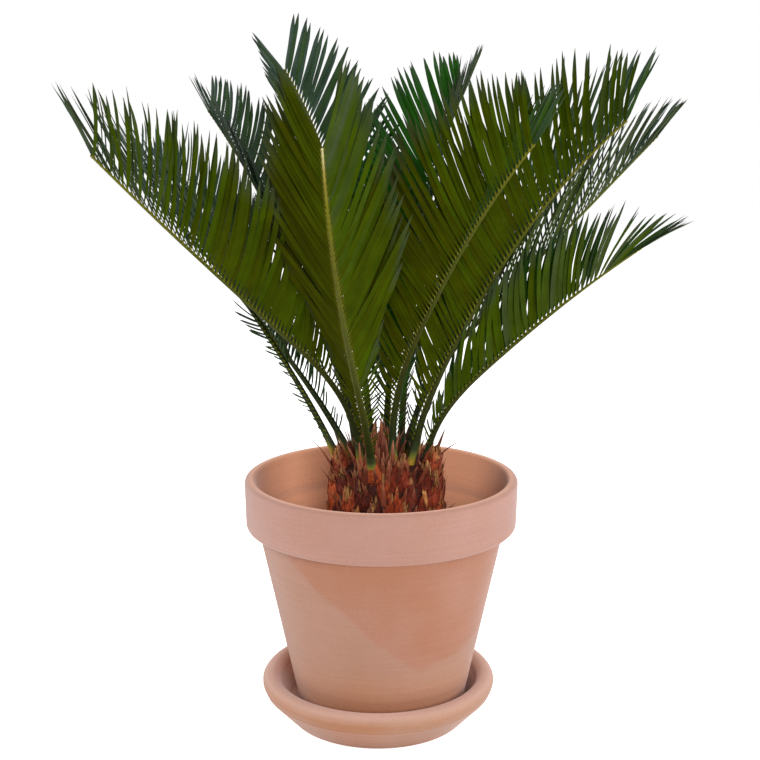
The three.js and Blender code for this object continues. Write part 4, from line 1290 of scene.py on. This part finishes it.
spear_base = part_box("bud")[0].z / MM - SPEAR_SINK
bud_draws = np.random.default_rng(31)
spear_angles = np.radians(GOLDEN_ANGLE) * np.arange(SPEAR_SCALES)
spear_parts = []
for spear_x, spear_y, spear_height in SPEARS:
    spear_foot = np.array([POT_SHIFT + spear_x, spear_y, spear_base]) * MM
    spear_radii = SPEAR_RADIUS * MM * bud_draws.uniform(0.6, 1, SPEAR_SCALES)
    spear_reach = (spear_height + SPEAR_SINK) * MM * bud_draws.uniform(0.72, 1, SPEAR_SCALES)
    spear_parts.append(upright_blades(
        spear_foot + outward(spear_angles) * spear_radii[:, None],
        spear_angles,
        np.radians(bud_draws.normal(1, 2, SPEAR_SCALES)),
        spear_reach,
        SPEAR_RADIUS * MM * bud_draws.uniform(1.3, 1.8, SPEAR_SCALES),
        SPEAR_CLOSING * spear_radii / spear_reach,
        bud_draws,
    ))
bud = grow_blades(
    "bud_scales", "bud_points", joined(spear_parts), BUD_SHAPE,
    papery("woolly_bud_inside", ("#6c2c1e", "#9a4f36"), "#bd7a54"),
    papery("woolly_bud_outside", ("#72301e", "#a0533a"), "#c4805a"),
)
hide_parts("bud")
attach(bud, "root")

# Studio.
# A white sweep in soft, even light, with the camera where the photograph's was.
FLOOR_SIZE = 9
FLOOR_GLOW = 0.7
ROOM_LIGHT = 0.5
CAMERA_PLACE = (0.0018, -1.291, 0.610)
CAMERA_TILT = 11.6
CAMERA_LENS = 63.85
SENSOR_WIDTH = 36
LIGHT_AIM = (0, 0, 0.35)

# Each light's name, its place, the length of its sides and its power in watts.
LIGHTS = (
    ("front_light", (0.45, -2.2, 1.02), 0.7, 21),
    ("right_light", (2.0, 0.1, 1.1), 1.0, 17),
    ("left_light", (-2.1, 0.2, 1.1), 1.0, 19),
    ("rear_light", (0.2, 1.7, 1.7), 1.6, 8),
)


def white_sweep(name):
    """Painted studio floor: white, with a trace of a mottled tone. Only the camera sees it glow, so
    that it turns plain white without lighting the pot from below."""
    material, tree, shader, place = surface(name, 0.9, 0.5)
    mottle = add(tree, "ShaderNodeTexNoise", {"Vector": place, "Scale": 3, "Detail": 2}).outputs[0]
    white = add(tree, "ShaderNodeMix", {
        0: mottle, 6: linear("#f6f6f6"), 7: linear("#ffffff"),
    }, data_type="RGBA").outputs[2]
    tree.links.new(white, shader.inputs["Base Color"])
    shader.inputs["Emission Color"].default_value = linear("#ffffff")
    glow = add(tree, "ShaderNodeLightPath").outputs["Is Camera Ray"]
    faint = add(tree, "ShaderNodeMath", {0: glow, 1: FLOOR_GLOW}, operation="MULTIPLY").outputs[0]
    tree.links.new(faint, shader.inputs["Emission Strength"])
    return material


floor_mesh = bpy.data.meshes.new("studio_floor")
floor_mesh.from_pydata([
    (x * FLOOR_SIZE / 2, y * FLOOR_SIZE / 2, 0) for x, y in ((-1, -1), (1, -1), (1, 1), (-1, 1))
], [], [(0, 1, 2, 3)])
floor_mesh.materials.append(white_sweep("painted_white_sweep"))
floor = linked("studio_floor", floor_mesh)

for light_name, light_place, light_size, light_watts in LIGHTS:
    lamp = bpy.data.lights.new(light_name, "AREA")
    lamp.energy = light_watts
    lamp.size = light_size
    holder = linked(light_name, lamp)
    holder.location = light_place
    holder.rotation_euler = (Vector(LIGHT_AIM) - holder.location).to_track_quat("-Z", "Y").to_euler()

world = bpy.data.worlds.new("white_room")
world.use_nodes = True
sky = world.node_tree
seen = add(sky, "ShaderNodeLightPath").outputs["Is Camera Ray"]
background = sky.nodes["Background"]
strength = add(sky, "ShaderNodeMapRange", {0: seen, 3: ROOM_LIGHT, 4: 1}).outputs[0]
sky.links.new(strength, background.inputs["Strength"])
background.inputs["Color"].default_value = linear("#ffffff")
bpy.context.scene.world = world
bpy.context.scene.view_settings.view_transform = "Standard"

camera = linked("photo_camera", bpy.data.cameras.new("photo_camera"))
camera.location = CAMERA_PLACE
camera.rotation_euler = (math.radians(90 - CAMERA_TILT), 0, 0)
camera.data.lens = CAMERA_LENS
camera.data.sensor_width = SENSOR_WIDTH
bpy.context.scene.camera = camera
